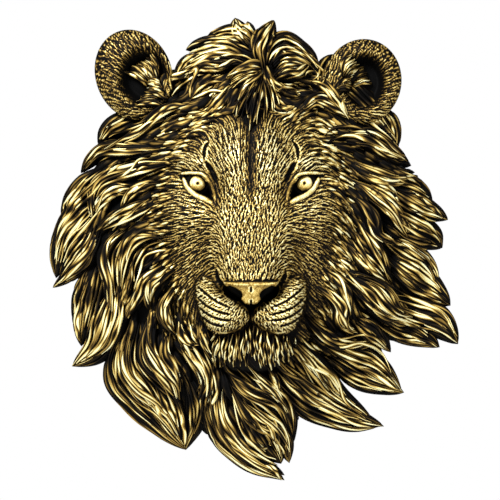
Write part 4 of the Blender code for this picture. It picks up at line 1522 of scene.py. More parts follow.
    def surface(self, flow: Flow) -> Surface:
        """The mask, closed behind.

        Args:
            flow: which way the fur lies.

        Returns:
            The piece, ready to be gilded.
        """
        relief = self.relief(flow)
        height = relief.height()
        bm = bmesh.new()
        disc = disc_grid(bm, *self.cells)
        across = self.centre[0] + self.reach[0] * disc[:, 0]
        down = self.centre[1] - self.reach[1] * disc[:, 1]
        away = np.hypot(disc[:, 0], disc[:, 1])
        raised = relief.read(height, across, down) * (1 - ease(away, 0.95, 1.0))
        depth = FORM.depth(across, down) + raised - self.rim_sink * ease(away, 0.93, 1.0)
        depth = depth - self.eye_sink * (1 - ease(FORM.outside_opening(sides(across), down), -1.2, 0.2))
        for v, place in zip(bm.verts, SHEET.place(across, down, depth)):
            v.co = place
        fronts = len(bm.verts)
        rim = closed_behind(bm, lambda co: min(co.y + self.behind, -1 * MM))
        bmesh.ops.edgeloop_fill(bm, edges=rim)
        bmesh.ops.recalc_face_normals(bm, faces=bm.faces)
        made = linked("face", mesh_from(bm, "face"))
        places = places_of(made.data)
        across, down, _ = SHEET.unplace(places)
        crest = self.base_crest + relief.read(relief.local(height), across, down) / self.fur_relief
        uncut = 1 - ease(relief.read(relief.cuts, across, down), 0.2 * MM, 1.0 * MM)
        crest = np.maximum(crest, self.leather_crest * FORM.leather_share(across, down) * uncut)
        crest = np.maximum(crest, relief.read(relief.lines, across, down) / self.line_relief)
        crest = np.clip(crest, 0, 1)
        crest[fronts:] = 0
        return Surface(made, crest, self.tone(across, down), places / MM, self.openness)


@dataclass(frozen=True)
class Core:
    """The block behind the hair: the dome, flat at the wall, with the keyhole pocket it hangs by."""

    cells: int = 76
    under_face: float = 4 * MM
    pocket_rise: float = 14 * MM
    entry_radius: float = 5.5 * MM
    slot_width: float = 5 * MM
    slot_run: float = 12 * MM
    pocket_depth: float = 10 * MM
    turns: int = 12
    tone: float = 0.3
    sharp: float = 50

    def keyhole(self, bm: bmesh.types.BMesh) -> list[bmesh.types.BMEdge]:
        """The keyhole's outline on the wall: a round entry with a narrower slot above it.

        Args:
            bm: where it is drawn.

        Returns:
            Its loop of edges.
        """
        half = self.slot_width / 2
        start = math.asin(half / self.entry_radius)
        rim = []
        for i in range(2 * self.turns + 1):
            turn = start + (2 * math.pi - 2 * start) * i / (2 * self.turns)
            rim.append((self.entry_radius * math.sin(turn), self.entry_radius * math.cos(turn)))
        for i in range(self.turns + 1):
            turn = -math.pi / 2 + math.pi * i / self.turns
            rim.append((half * math.sin(turn), self.slot_run + half * math.cos(turn)))
        verts = [bm.verts.new((x, 0, self.pocket_rise + z)) for x, z in rim]
        return [bm.edges.new(pair) for pair in zip(verts, verts[1:] + verts[:1])]

    def surface(self) -> Surface:
        """The block.

        Returns:
            The piece, ready to be gilded.
        """
        bm = bmesh.new()
        disc = disc_grid(bm, self.cells, self.cells)
        share = np.clip(np.hypot(disc[:, 0], disc[:, 1]), 0, 1)
        angle = np.arctan2(disc[:, 0], disc[:, 1])
        radius = share * FORM.rim_radius(angle)
        across = FORM.centre[0] + radius * np.sin(angle)
        down = FORM.centre[1] - radius * np.cos(angle)
        depth = FORM.edge + FORM.rise * (1 - share**FORM.power)
        face = FORM.face_depth(across, down)
        (middle, level), (wide, high) = Face.centre, Face.reach
        inside = 1 - ease(np.hypot((across - middle) / wide, (down - level) / high), 0.88, 0.97)
        depth = depth + face * (1 - inside) - self.under_face * inside
        for v, place in zip(bm.verts, SHEET.place(across, down, depth)):
            v.co = place
        rim = closed_behind(bm, lambda co: 0.0)
        hole = self.keyhole(bm)
        bmesh.ops.triangle_fill(bm, use_beauty=True, edges=rim + hole)
        walls = bmesh.ops.extrude_edge_only(bm, edges=hole)["geom"]
        inner = [g for g in walls if isinstance(g, bmesh.types.BMVert)]
        bmesh.ops.translate(bm, verts=inner, vec=(0, -self.pocket_depth, 0))
        end = [g for g in walls if isinstance(g, bmesh.types.BMEdge) and g.is_boundary]
        bmesh.ops.edgeloop_fill(bm, edges=end)
        bmesh.ops.recalc_face_normals(bm, faces=bm.faces)
        for facet in bm.faces:
            if facet.normal.y > 0.9 or facet.calc_center_median().y > -self.pocket_depth - 1e-5:
                facet.material_index = 1
        mesh = mesh_from(bm, "core")
        made = linked("core", mesh)
        mesh.set_sharp_from_angle(angle=math.radians(self.sharp))
        places = places_of(mesh)
        return Surface(made, np.zeros(len(places)), np.full(len(places), self.tone), places / MM)


class Side(Enum):
    """The two sides of the head, as seen on the sheet."""

    LEFT = -1
    RIGHT = 1


@dataclass(frozen=True)
class Ear(Lie):
    """One ear: a thick cup with its hollow to the front, fine fur over its rim and back, and tufts inside.

    Args:
        side: which ear.
        centre: its middle on the sheet.
        reach: its half width and half height, in steps.
        lean: how far it leans, in degrees.
        source: the place that its fur spreads from.
        dip: the hollow's middle, and its half width and half height.
        tufts: the fans of hair in its hollow.
        seed: what its random draws start from.
    """

    side: Side
    centre: Point
    reach: Point
    lean: float
    source: Point
    dip: tuple[Point, Point]
    tufts: tuple["Fan", ...]
    seed: int
    tone: float = 0.62
    window: Point = (54, 58)
    off_wall: float = 20 * MM
    half_thick: float = 12 * MM
    back_share: float = 1.45
    dish: float = 15 * MM
    segments: tuple[int, int] = (184, 104)
    fur_gap: float = 2.3
    fur_lengths: tuple[float, float] = (6, 12)
    fur_half: float = 1.05
    fur_rise: float = 0.9 * MM
    base_crest: float = 0.38
    fur_relief: float = 0.32 * MM

    def unturned(self, across: Array, down: Array) -> tuple[Array, Array]:
        """Places on the ear, from places on the sheet.

        Args:
            across, down: places on the sheet.

        Returns:
            Shares of the ear's half width and half height, across and up.
        """
        c, s = math.cos(math.radians(self.lean)), math.sin(math.radians(self.lean))
        x, z = across - self.centre[0], self.centre[1] - down
        return (c * x + s * z) / self.reach[0], (c * z - s * x) / self.reach[1]

    def turned_to(self, p: Array, q: Array) -> tuple[Array, Array]:
        """Places on the sheet, from places on the ear.

        Args:
            p: shares of the ear's half width.
            q: shares of its half height.

        Returns:
            Places across and down the sheet.
        """
        c, s = math.cos(math.radians(self.lean)), math.sin(math.radians(self.lean))
        x, z = p * self.reach[0], q * self.reach[1]
        return self.centre[0] + c * x - s * z, self.centre[1] - (s * x + c * z)

    def hollow(self, p: Array, q: Array) -> Array:
        """The ear's hollow.

        Args:
            p: shares of the ear's half width.
            q: shares of its half height.

        Returns:
            1 deep in the ear and 0 on its rim.
        """
        across, down = self.turned_to(p, q)
        middle, reach = self.dip
        return 1 - ease(np.hypot((across - middle[0]) / reach[0], (down - middle[1]) / reach[1]), 0.6, 1.15)

    def depth(self, across: Array, down: Array) -> Array:
        """How far its front stands off the wall.

        Args:
            across, down: places on the sheet.

        Returns:
            Metres off the wall.
        """
        p, q = self.unturned(across, down)
        r = np.hypot(p, q)
        front = self.half_thick * np.clip(1 - r**2, 0, 1) ** 0.35
        past = np.clip(r - 1, 0, None) * self.reach[0] * STEP * 2.5
        return self.off_wall + front - np.where(r < 1, self.dish * self.hollow(p, q), 0) - past

    def at(self, across: Array, down: Array) -> tuple[Array, Array]:
        """Its fur spreads from where the ear grows out of the mane."""
        return unit(across - self.source[0], down - self.source[1])

    def cup(self, rng: np.random.Generator) -> Surface:
        """The cup itself, furred on both sides.

        Args:
            rng: its random draws.

        Returns:
            The piece, ready to be gilded.
        """
        name = "ear_" + self.side.name.lower()
        low, high = (tuple(self.centre[k] + sign * self.window[k] for k in (0, 1)) for sign in (-1, 1))
        relief = Relief(low, high)
        seeds = jittered(low, high, self.fur_gap, rng)
        seeds = seeds[np.hypot(*self.unturned(seeds[:, 0], seeds[:, 1])) < 1.0]
        lengths = rng.uniform(*self.fur_lengths, len(seeds))
        relief.strokes(self, seeds, lengths, self.fur_half, self.fur_rise, rng)
        height = relief.height()
        bm = bmesh.new()
        bmesh.ops.create_uvsphere(bm, u_segments=self.segments[0], v_segments=self.segments[1], radius=1)
        mesh = mesh_from(bm, name)
        ball = places_of(mesh)
        p, y, q = ball[:, 0], -ball[:, 2], ball[:, 1]
        front = y < 0
        thick = np.where(front, self.half_thick, self.half_thick * self.back_share)
        across, down = self.turned_to(p, q)
        off = np.sign(y) * np.abs(y) ** 0.7 * thick
        off = off + np.where(front, self.dish * self.hollow(p, q), 0)
        furred = np.where(front, 1 - ease(self.hollow(p, q), 0.4, 0.8), 1) * ease(np.abs(y), 0, 0.25)
        off = off + np.sign(y) * relief.read(height, across, down) * furred
        places = SHEET.place(across, down, self.off_wall - off)
        places[:, 1] = np.minimum(places[:, 1], -0.5 * MM)
        crest = self.base_crest + relief.read(relief.local(height), across, down) / self.fur_relief
        tone = self.tone * np.where(front, 1 - self.hollow(p, q), 0.7)
        return Surface(linked(name, mesh, places), np.clip(crest, 0, 1), tone, places / MM)

    def surfaces(self) -> list[Surface]:
        """Its pieces.

        Returns:
            The cup, and the tufts in it.
        """
        rng = np.random.default_rng(self.seed)
        hair = Hair(
            self.depth, strand=2.4, groove=0.9 * MM, stride=1.8, lift=3 * MM, sink=2 * MM, root=0.5,
            stock=1.0 * MM, roundness=0.4, wall_depth=3 * MM, tip_width=1.4, tip_thick=0.6 * MM,
            strand_tones=(0.7, 1.2),
        )
        rows = [lock for fan in self.tufts for lock in fan.rows(rng)]
        return [self.cup(rng), hair.piece("ear_tufts_" + self.side.name.lower(), rows, rng)]


def tresses(*rows: tuple) -> tuple[Lock, ...]:
    """Thin locks that lie over everything else, from rows of a width and five places."""
    return tuple(Lock(tuple(points), width, 1.4, 0.5) for width, *points in rows)


LEFT_TRESSES = tresses(
    (3.5, (132, 150), (116, 150), (104, 152), (96, 156), (90, 163)),
    (2, (138, 158), (124, 156), (112, 157), (104, 160), (99, 164)),
    (3.5, (152, 160), (142, 161), (134, 169), (126, 175), (118, 179)),
    (3, (158, 171), (147, 168), (138, 171), (129, 177), (119, 180)),
    (4, (122, 165), (108, 175), (96, 187), (93, 203), (94, 219)),
    (3.5, (133, 189), (120, 187), (109, 192), (101, 203), (97, 213)),
    (3, (128, 196), (118, 196), (108, 203), (101, 209), (98, 216)),
    (4.5, (150, 185), (140, 188), (132, 194), (128, 200), (126, 205)),
    (3.5, (152, 199), (140, 208), (130, 217), (120, 224), (114, 231)),
    (3, (122, 214), (113, 218), (107, 224), (102, 228), (97, 232)),
    (8, (122, 229), (108, 246), (106, 262), (111, 286), (112, 311)),
    (3, (124, 240), (118, 250), (114, 262), (115, 280), (117, 296)),
    (5, (163, 230), (150, 230), (139, 233), (133, 238), (129, 247)),
    (3, (160, 236), (146, 237), (137, 240), (130, 252), (128, 268)),
    (2.5, (142, 247), (137, 256), (134, 268), (133, 280), (130, 294)),
    (3, (166, 241), (152, 245), (142, 256), (137, 268), (136, 282)),
    (3, (172, 250), (158, 251), (147, 257), (142, 270), (136, 290)),
    (7, (172, 266), (162, 275), (154, 282), (151, 291), (152, 302)),
    (3.5, (92, 178), (80, 186), (72, 195), (66, 204), (64, 210)),
    (4.5, (90, 190), (80, 201), (74, 210), (62, 224), (57, 238)),
    (4.5, (94, 204), (82, 214), (68, 226), (60, 241), (55, 260)),
    (3, (94, 216), (84, 227), (72, 236), (63, 249), (58, 262)),
    (3, (95, 226), (90, 239), (80, 253), (69, 266), (61, 277)),
    (8, (97, 233), (94, 246), (82, 261), (70, 274), (58, 284)),
    (8, (86, 288), (82, 304), (78, 320), (78, 332), (80, 341)),
    (3.5, (99, 298), (95, 318), (91, 337), (82, 354), (72, 366)),
    (5, (111, 300), (104, 320), (97, 338), (88, 352), (76, 364)),
    (5, (116, 314), (111, 328), (103, 342), (94, 353), (84, 361)),
    (4.5, (144, 291), (139, 299), (134, 307), (131, 312), (129, 318)),
    (9, (170, 299), (168, 308), (169, 317), (172, 324), (175, 330)),
    (3, (116, 352), (115, 372), (130, 395), (155, 413), (176, 436)),
    (7.5, (124, 340), (125, 368), (140, 389), (163, 408), (179, 436)),
    (3, (121, 374), (134, 391), (150, 404), (166, 415), (176, 430)),
    (2.5, (134, 350), (143, 368), (156, 383), (168, 393), (178, 405)),
    (3, (143, 338), (150, 361), (165, 383), (181, 405), (186, 438)),
    (6, (149, 316), (150, 342), (163, 365), (175, 383), (180, 402)),
    (5, (164, 328), (166, 346), (175, 361), (179, 376), (181, 391)),
    (5, (174, 402), (181, 415), (184, 427), (185, 438), (184, 447)),
)
BEARD_TRESSES = tresses(
    (5, (183, 320), (185, 332), (189, 339), (194, 343), (200, 343)),
    (3, (191, 321), (192, 329), (194, 335), (197, 339), (199, 342)),
    (6, (203, 322), (202, 332), (205, 340), (209, 347), (213, 353)),
    (4, (180, 332), (187, 345), (195, 358), (202, 370), (207, 384)),
    (3.5, (190, 341), (200, 356), (207, 374), (208, 390), (205, 405)),
    (3, (203, 346), (209, 358), (213, 370), (216, 384), (217, 398)),
    (4, (218, 380), (217, 408), (225, 437), (248, 460), (280, 478)),
    (6.5, (224, 384), (224, 410), (237, 436), (257, 454), (278, 465)),
    (3.5, (233, 394), (239, 422), (252, 442), (266, 454), (276, 459)),
    (5.5, (221, 355), (229, 369), (243, 380), (257, 387), (270, 395)),
    (6, (247, 361), (259, 376), (270, 386), (279, 397), (288, 410)),
    (3.5, (266, 363), (271, 373), (275, 381), (278, 388), (281, 396)),
    (5.5, (240, 397), (256, 411), (272, 424), (284, 439), (290, 452)),
    (3, (231, 383), (248, 396), (265, 406), (280, 421), (290, 437)),
    (3.5, (250, 415), (262, 427), (273, 438), (282, 448), (288, 457)),
    (5.5, (262, 463), (270, 466), (275, 470), (279, 475), (281, 480)),
    (5, (270, 354), (284, 370), (306, 382), (330, 402), (377, 424)),
    (4.5, (296, 394), (316, 405), (336, 414), (354, 423), (372, 427)),
    (5, (300, 343), (320, 363), (335, 377), (346, 402), (366, 419)),
    (3, (296, 352), (310, 365), (326, 374), (336, 386), (342, 400)),
    (4, (306, 352), (318, 366), (330, 374), (338, 386), (346, 396)),
    (4, (320, 339), (340, 346), (362, 343), (382, 354), (391, 374)),
    (5, (352, 361), (366, 368), (380, 378), (391, 386), (400, 390)),
    (3, (353, 352), (366, 356), (378, 364), (387, 373), (395, 383)),
    (3, (322, 334), (338, 338), (356, 334), (372, 336), (384, 346)),
)
RIGHT_TRESSES = tresses(
    (4.5, (346, 162), (364, 169), (382, 175), (400, 179), (414, 177)),
    (2.5, (366, 178), (378, 182), (390, 184), (399, 184), (407, 182)),
    (6, (416, 195), (424, 202), (431, 208), (437, 213), (444, 219)),
    (2.5, (404, 206), (413, 211), (421, 216), (428, 220), (436, 222)),
    (6, (354, 181), (370, 197), (386, 209), (398, 224), (407, 239)),
    (3, (374, 202), (384, 212), (391, 220), (398, 229), (404, 236)),
    (4.5, (372, 189), (381, 191), (389, 194), (395, 199), (399, 206)),
    (4, (344, 194), (360, 205), (371, 226), (385, 244), (402, 259)),
    (3.5, (378, 231), (387, 238), (395, 243), (401, 245), (408, 248)),
    (4, (344, 214), (358, 226), (368, 246), (378, 262), (387, 281)),
    (4.5, (349, 239), (358, 252), (367, 264), (375, 273), (386, 283)),
    (3, (344, 226), (353, 235), (359, 246), (364, 256), (370, 264)),
    (3.5, (400, 261), (411, 269), (421, 277), (431, 285), (441, 293)),
    (4, (400, 271), (412, 281), (424, 288), (436, 296), (446, 303)),
    (4.5, (388, 284), (408, 297), (430, 306), (446, 320), (457, 337)),
    (7.5, (412, 316), (425, 322), (438, 328), (449, 335), (458, 343)),
    (3, (338, 260), (350, 277), (364, 292), (376, 305), (388, 314)),
    (6.5, (361, 280), (374, 288), (384, 301), (397, 312), (413, 317)),
    (3, (350, 289), (362, 300), (374, 309), (387, 316), (401, 320)),
    (3.5, (377, 282), (386, 290), (391, 298), (396, 306), (403, 313)),
    (4, (326, 270), (338, 278), (344, 292), (347, 304), (349, 315)),
    (5.5, (324, 286), (335, 302), (341, 316), (348, 327), (357, 332)),
    (4.5, (354, 321), (364, 326), (373, 332), (380, 338), (387, 346)),
    (3.5, (394, 328), (407, 334), (418, 338), (428, 342), (437, 347)),
    (3, (352, 143), (366, 145), (380, 150), (393, 154), (405, 160)),
    (3, (406, 226), (416, 229), (426, 232), (434, 236), (440, 243)),
)
CROWN_TRESSES = tresses(
    (4, (227, 95), (215, 93), (207, 95), (199, 98), (192, 101)),
    (7, (191, 108), (178, 107), (167, 110), (161, 115), (157, 119)),
    (7, (166, 121), (152, 124), (138, 133), (122, 142), (103, 151)),
    (4.5, (192, 79), (180, 79), (168, 82), (165, 92), (164, 103)),
    (4.5, (164, 103), (146, 104), (134, 109), (124, 119), (105, 129)),
    (5, (191, 101), (191, 88), (198, 71), (192, 72), (185, 80)),
    (6, (246, 66), (234, 63), (225, 67), (219, 69), (214, 69)),
    (5, (262, 71), (253, 69), (244, 70), (237, 74), (230, 80)),
    (5.5, (262, 72), (258, 79), (250, 85), (245, 90), (242, 96)),
    (3.5, (263, 75), (264, 80), (266, 84), (269, 87), (274, 90)),
    (5, (227, 45), (213, 47), (205, 49), (198, 51), (189, 54)),
    (4, (230, 58), (215, 57), (202, 62), (193, 66), (185, 70)),
    (2.6, (300, 50), (310, 60), (320, 69), (328, 78), (338, 89)),
    (2.8, (338, 88), (351, 95), (360, 105), (369, 113), (379, 122)),
    (4.5, (351, 118), (366, 119), (380, 126), (389, 134), (397, 143)),
    (4, (321, 86), (330, 96), (338, 106), (343, 113), (348, 121)),
    (3.5, (338, 88), (341, 97), (341, 105), (343, 111), (346, 118)),
    (9, (313, 103), (322, 105), (331, 110), (339, 114), (347, 119)),
    (4, (321, 139), (334, 129), (350, 128), (364, 132), (379, 141)),
    (5, (321, 147), (344, 137), (366, 141), (384, 151), (404, 160)),
    (3.5, (273, 97), (279, 91), (286, 90), (292, 91), (298, 93)),
    (3.5, (303, 80), (306, 74), (314, 73), (318, 78), (310, 83)),
    (4, (262, 60), (259, 50), (262, 42), (267, 33), (272, 25)),
    (3.5, (268, 66), (272, 56), (281, 50), (292, 50), (302, 56)),
    (3.5, (274, 74), (284, 64), (295, 62), (307, 66), (318, 76)),
    (4, (250, 48), (243, 40), (239, 33), (237, 28), (236, 24)),
    (3, (258, 56), (247, 50), (238, 46), (229, 43), (219, 42)),
    (3, (254, 64), (244, 58), (232, 56), (220, 60), (208, 66)),
    (4, (226, 84), (214, 84), (204, 88), (196, 95), (190, 104)),
    (3.5, (206, 76), (196, 78), (186, 84), (178, 90), (172, 98)),
    (3.5, (252, 82), (249, 92), (246, 102), (247, 112), (249, 122)),
    (3.5, (262, 86), (262, 96), (258, 106), (255, 116), (253, 126)),
)


@dataclass(frozen=True)
class Strands:
    """Single strands that run over the mane's locks, some of them crossing, some ending short of the tip."""

    spacing: float = 5.5
    spread: float = 0.78
    starts: tuple[float, float] = (0.0, 0.28)
    ends: tuple[float, float] = (0.74, 1.0)
    widths: tuple[float, float] = (2.6, 4.4)
    layers: tuple[float, float] = (0.9, 1.5)
    drift: float = 0.3
    seed: int = 29

    def over(self, lock: Lock, rng: np.random.Generator) -> list[Lock]:
        """The strands that run over one lock.

        Args:
            lock: the lock.
            rng: their random draws.

        Returns:
            The strands, as thin locks.
        """
        count = max(1, round(lock.width / self.spacing))
        made = []
        for k in range(count):
            shares = np.linspace(rng.uniform(*self.starts), rng.uniform(*self.ends), 6)
            route = curve_through(lock.points, shares)
            heading = np.gradient(route, axis=0)
            aside = np.stack(unit(-heading[:, 1], heading[:, 0]), axis=-1)
            swell = np.clip(1.2 - np.abs(shares - 0.42) * 1.7, 0.12, 1)
            middle = ((k + 0.5) / count * 2 - 1) * self.spread + rng.uniform(-0.1, 0.1)
            side = middle + rng.uniform(-1, 1) * self.drift * (shares - 0.5)
            route = route + aside * (side * swell * lock.width / 2)[:, None]
            points = tuple(tuple(place) for place in route)
            made.append(Lock(points, rng.uniform(*self.widths), rng.uniform(*self.layers), 0.5))
        return made

    def surfaces(self, survey: Survey) -> list[Surface]:
        """Its pieces.

        Args:
            survey: the pieces that the strands are laid over.

        Returns:
            The strands over each quarter's locks, its tresses, and the forelock's fine strands.
        """
        rng = np.random.default_rng(self.seed)
        hair = Hair(
            survey.top, strand=3.4, groove=0.6 * MM, stride=2.3, fewest=1, wave=0.35, wave_run=34, fold=0,
            lift=1.2 * MM, sink=1.6 * MM, root=0.35, stock=0.5 * MM, roundness=0.5, fullness=1.0,
            wall_depth=3 * MM, tip_width=1.1, tip_thick=0.5 * MM, strand_tones=(0.8, 1.2),
        )
        made = []
        for name, rows, own in (
            ("left", LEFT_LOCKS, LEFT_TRESSES),
            ("beard", BEARD_LOCKS, BEARD_TRESSES),
            ("right", RIGHT_LOCKS, RIGHT_TRESSES),
            ("crown", CROWN_LOCKS, CROWN_TRESSES),
        ):
            strands = [strand for lock in rows for strand in self.over(lock, rng)]
            made.append(hair.piece("strands_" + name, strands, rng, 0.95, 0.25))
            made.append(hair.piece("tresses_" + name, own, rng, 1.2, 0.6))
        fans = [lock for fan in CROWN_FANS for lock in fan.rows(rng)]
        return made + [hair.piece("tresses_peak", fans, rng, 1.0, 0.45)]


@dataclass(frozen=True)
class Fan:
    """A fan of thin locks, inside an ear or over the forelock.

    Args:
        roots: the places of its first and last root.
        tips: the places of its first and last tip.
        bow: how far its locks bow sideways, in steps.
        count: how many locks it has.
        layer: how high it stands.
        widths: the least and greatest width of a lock.
    """

    roots: tuple[Point, Point]
    tips: tuple[Point, Point]
    bow: float
    count: int
    layer: float
    widths: tuple[float, float] = (3.6, 5.2)

    def rows(self, rng: np.random.Generator) -> list[Lock]:
        """Its locks.

        Args:
            rng: their random draws.

        Returns:
            The locks, from the first root to the last.
        """
        made = []
        for share in (k / (self.count - 1) for k in range(self.count)):
            root = np.array(self.roots[0]) * (1 - share) + np.array(self.roots[1]) * share
            tip = np.array(self.tips[0]) * (1 - share) + np.array(self.tips[1]) * share
            root, tip = root + rng.uniform(-1, 1, 2), tip + rng.uniform(-1.5, 1.5, 2)
            run = tip - root
            aside = np.array([-run[1], run[0]]) / np.hypot(*run)
            points = [root + run * t + aside * self.bow * math.sin(math.pi * t) for t in (0, 0.33, 0.67, 1)]
            layer = self.layer + rng.uniform(-0.3, 0.3)
            made.append(Lock(tuple(tuple(p) for p in points), rng.uniform(*self.widths), layer, 0.5))
        return made


LEFT_TUFTS = (
    Fan(((148, 88), (158, 76)), ((123, 74), (152, 53)), 3.0, 13, 2.4),
    Fan(((150, 84), (158, 80)), ((132, 66), (148, 60)), 2.0, 7, 3.2),
    Fan(((166, 100), (162, 84)), ((146, 92), (148, 79)), 1.5, 6, 3.4),
    Fan(((164, 106), (158, 100)), ((136, 106), (140, 100)), 1.5, 4, 2.8),
)
CROWN_FANS = (
    Fan(((255, 80), (264, 82)), ((232, 116), (256, 128)), 1.5, 6, 2.4, (1.6, 2.4)),
    Fan(((262, 82), (268, 80)), ((262, 124), (280, 108)), -1.5, 5, 2.4, (1.6, 2.4)),
    Fan(((262, 72), (258, 78)), ((228, 78), (232, 92)), 3.0, 5, 2.6, (1.8, 2.6)),
)
RIGHT_TUFTS = (
    Fan(((346, 90), (340, 74)), ((373, 84), (350, 54)), -3.0, 12, 2.4),
    Fan(((345, 84), (342, 76)), ((366, 72), (356, 61)), -2.0, 6, 3.2),
    Fan(((336, 92), (340, 84)), ((352, 92), (352, 82)), -1.5, 5, 3.4),
)
EARS = (
    Ear(Side.LEFT, (134.5, 76), (38, 46), 20, (178, 112), ((145, 79), (25, 28)), LEFT_TUFTS, 21),
    Ear(Side.RIGHT, (361.5, 83), (39, 43), -14, (322, 112), ((364, 83), (21, 27)), RIGHT_TUFTS, 22),
)


@dataclass(frozen=True)
class Eye:
    """One eye: a ball with a raised iris, a ring cut round it and a small pupil dimple.

    Args:
        side: which eye.
    """

    side: Side
    iris: float = 8.1
    dome: float = 1.5 * MM
    pupil: float = 1.4
    pupil_depth: float = 1.3 * MM
    ring_depth: float = 0.9 * MM
    tone: float = 0.86
    # How much darker the ball's lower part is painted, as painted shade.
    shaded: float = 0.4

    def surface(self) -> Surface:
        """The ball.

        Returns:
            The piece, ready to be gilded.
        """
        name = "eye_" + self.side.name.lower()
        sign = self.side.value
        bm = bmesh.new()
        bmesh.ops.create_uvsphere(bm, u_segments=48, v_segments=56, radius=1)
        mesh = mesh_from(bm, name)
        ball = places_of(mesh)
        reach = FORM.eye_radius * np.hypot(ball[:, 0], ball[:, 1])
        off = -ball[:, 2] * FORM.eye_radius * STEP
        centre_off = FORM.eye_front - FORM.eye_radius * STEP
        swell = self.dome * np.sqrt(np.clip(1 - (reach / self.iris) ** 2, 0, 1))
        dimple = self.pupil_depth * np.exp(-((reach / self.pupil) ** 2))
        ring = self.ring_depth * np.exp(-(((reach - self.iris - 0.9) / 0.8) ** 2))
        front = ball[:, 2] < 0
        depth = centre_off + off + np.where(front, swell - dimple - ring, 0)
        across = SHEET.axis + sign * FORM.eye_centre[0] + FORM.eye_radius * ball[:, 0] * sign
        down = FORM.eye_centre[1] + FORM.eye_radius * ball[:, 1]
        places = SHEET.place(across, down, depth)
        made = linked(name, mesh, places)
        if self.side is Side.RIGHT:
            made.data.flip_normals()
        on_iris = 1 - ease(reach, self.iris - 0.8, self.iris + 0.3)
        crest = front * on_iris * (1 - np.exp(-((reach / 1.6) ** 2)))
        # Painted shade: the ball is painted darker towards its bottom, as if lit from above.
        tone = self.tone - self.shaded * ease(ball[:, 1] * FORM.eye_radius, -3, 7)
        return Surface(made, crest, tone, places / MM)


@dataclass
class Gilding:
    """Where the gold was rubbed: on what stands out from its surroundings, ridges more than grooves.

    Args:
        survey: the pieces as they stand.
        shades: places painted darker, each with a middle, a reach and a turn: painted shade in the mane's
            deep hollows, under its overhanging locks and in the right ear's hollow, and thinner gold over the
            forelock and crown.
    """

    survey: Survey
    near: float = 2.5
    far: float = 9.0
    # How far the shades darken the gold: painted shade, and thinner gold over the forelock and crown.
    darkening: float = 0.85
    shades: tuple[tuple[Point, Point, float], ...] = (
        ((98, 170), (14, 6), 0), ((72, 210), (6, 5), 0), ((87, 204), (5, 7), 0),
        ((96, 262), (7, 34), 6), ((95, 292), (12, 9), 0), ((102, 360), (12, 5), -25),
        ((139, 311), (9, 13), 15), ((156, 256), (7, 6), 0), ((192, 388), (8, 24), 0),
        ((203, 412), (6, 18), 0), ((253, 430), (6, 16), -45), ((290, 398), (8, 10), 0),
        ((318, 414), (18, 5), 20), ((344, 374), (7, 5), 0), ((338, 334), (9, 5), 0),
        ((348, 310), (4, 11), -20), ((372, 217), (8, 20), -35), ((404, 203), (7, 20), 0),
        ((424, 238), (18, 9), 10), ((393, 266), (5, 14), 0), ((378, 334), (22, 7), 20),
        ((132, 236), (5, 5), 0), ((103, 240), (5, 12), 0), ((249, 107), (10, 15), 0),
        ((258, 78), (6, 7), 0), ((205, 108), (9, 5), -20), ((250, 112), (14, 15), 0),
        ((264, 90), (9, 10), 0), ((245, 52), (9, 12), 0), ((362, 97), (11, 10), 0),
        ((364, 96), (9, 8), 0),
    )
    near_mean: Array = field(init=False)
    far_mean: Array = field(init=False)

    def __post_init__(self) -> None:
        """Smooths the survey, to tell what stands out from it."""
        self.near_mean, self.far_mean = self.survey.mean(self.near), self.survey.mean(self.far)

    def rub(self, surface: Surface) -> None:
        """Gives a piece its gilt and its lay, which its finish reads.

        Args:
            surface: the piece.
        """
        across, down, depth = SHEET.unplace(surface.places())
        near = depth - sampled(self.near_mean, across, down, 1.0)
        far = depth - sampled(self.far_mean, across, down, 1.0)
        stands = 0.6 * ease(near, -2.4 * MM, 0.8 * MM) + 0.4 * ease(far, -5.0 * MM, 3.0 * MM)
        stands = surface.openness + (1 - surface.openness) * stands
        gilt_light_and_shade = surface.tone * (0.04 + 0.96 * ease(surface.crest, 0.25, 0.9)) * (0.1 + 1.1 * stands)
        # Painted shade: the shades darken the gold in the mane's deep hollows and under its overhanging
        # locks, and thin it over the forelock and crown; open pieces are darkened less.
        darkening = self.darkening * (1 - 0.6 * surface.openness)
        for centre, reach, turn in self.shades:
            gilt_light_and_shade = gilt_light_and_shade * (1 - darkening * hill(across, down, centre, reach, turn))
        mesh = surface.made.data
        rubbed = mesh.attributes.new("gilt_light_and_shade", "FLOAT", "POINT")
        rubbed.data.foreach_set("value", np.clip(gilt_light_and_shade, 0, 1).astype(np.float32))
        lay = mesh.attributes.new("lay", "FLOAT_VECTOR", "POINT")
        lay.data.foreach_set("vector", surface.lay.astype(np.float32).ravel())


def rgba(code: str) -> tuple[float, float, float, float]:
    """A linear colour from an sRGB hex code."""
    parts = [int(code[k : k + 2], 16) / 255 for k in (1, 3, 5)]
    return (*(c / 12.92 if c <= 0.04045 else ((c + 0.055) / 1.055) ** 2.4 for c in parts), 1.0)


def node(tree: bpy.types.NodeTree, kind: str, links: dict, **settings: object) -> bpy.types.Node:
    """Adds a node.

    Args:
        tree: the tree it goes in.
        kind: the node's type.
        links: for each input's name or number, an output to link to it or a value to give it.
        settings: the node's own properties.

    Returns:
        The node.
    """
    made = tree.nodes.new(kind)
    for name, value in settings.items():
        setattr(made, name, value)
    for name, value in links.items():
        if isinstance(value, bpy.types.NodeSocket):
            tree.links.new(value, made.inputs[name])
        else:
            made.inputs[name].default_value = value
    return made


def blank(name: str) -> tuple[bpy.types.Material, bpy.types.NodeTree]:
    """A material with no nodes yet.

    Args:
        name: its name.

    Returns:
        The material and its node tree.
    """
    material = bpy.data.materials.new(name)
    material.use_nodes = True
    material.node_tree.nodes.clear()
    return material, material.node_tree


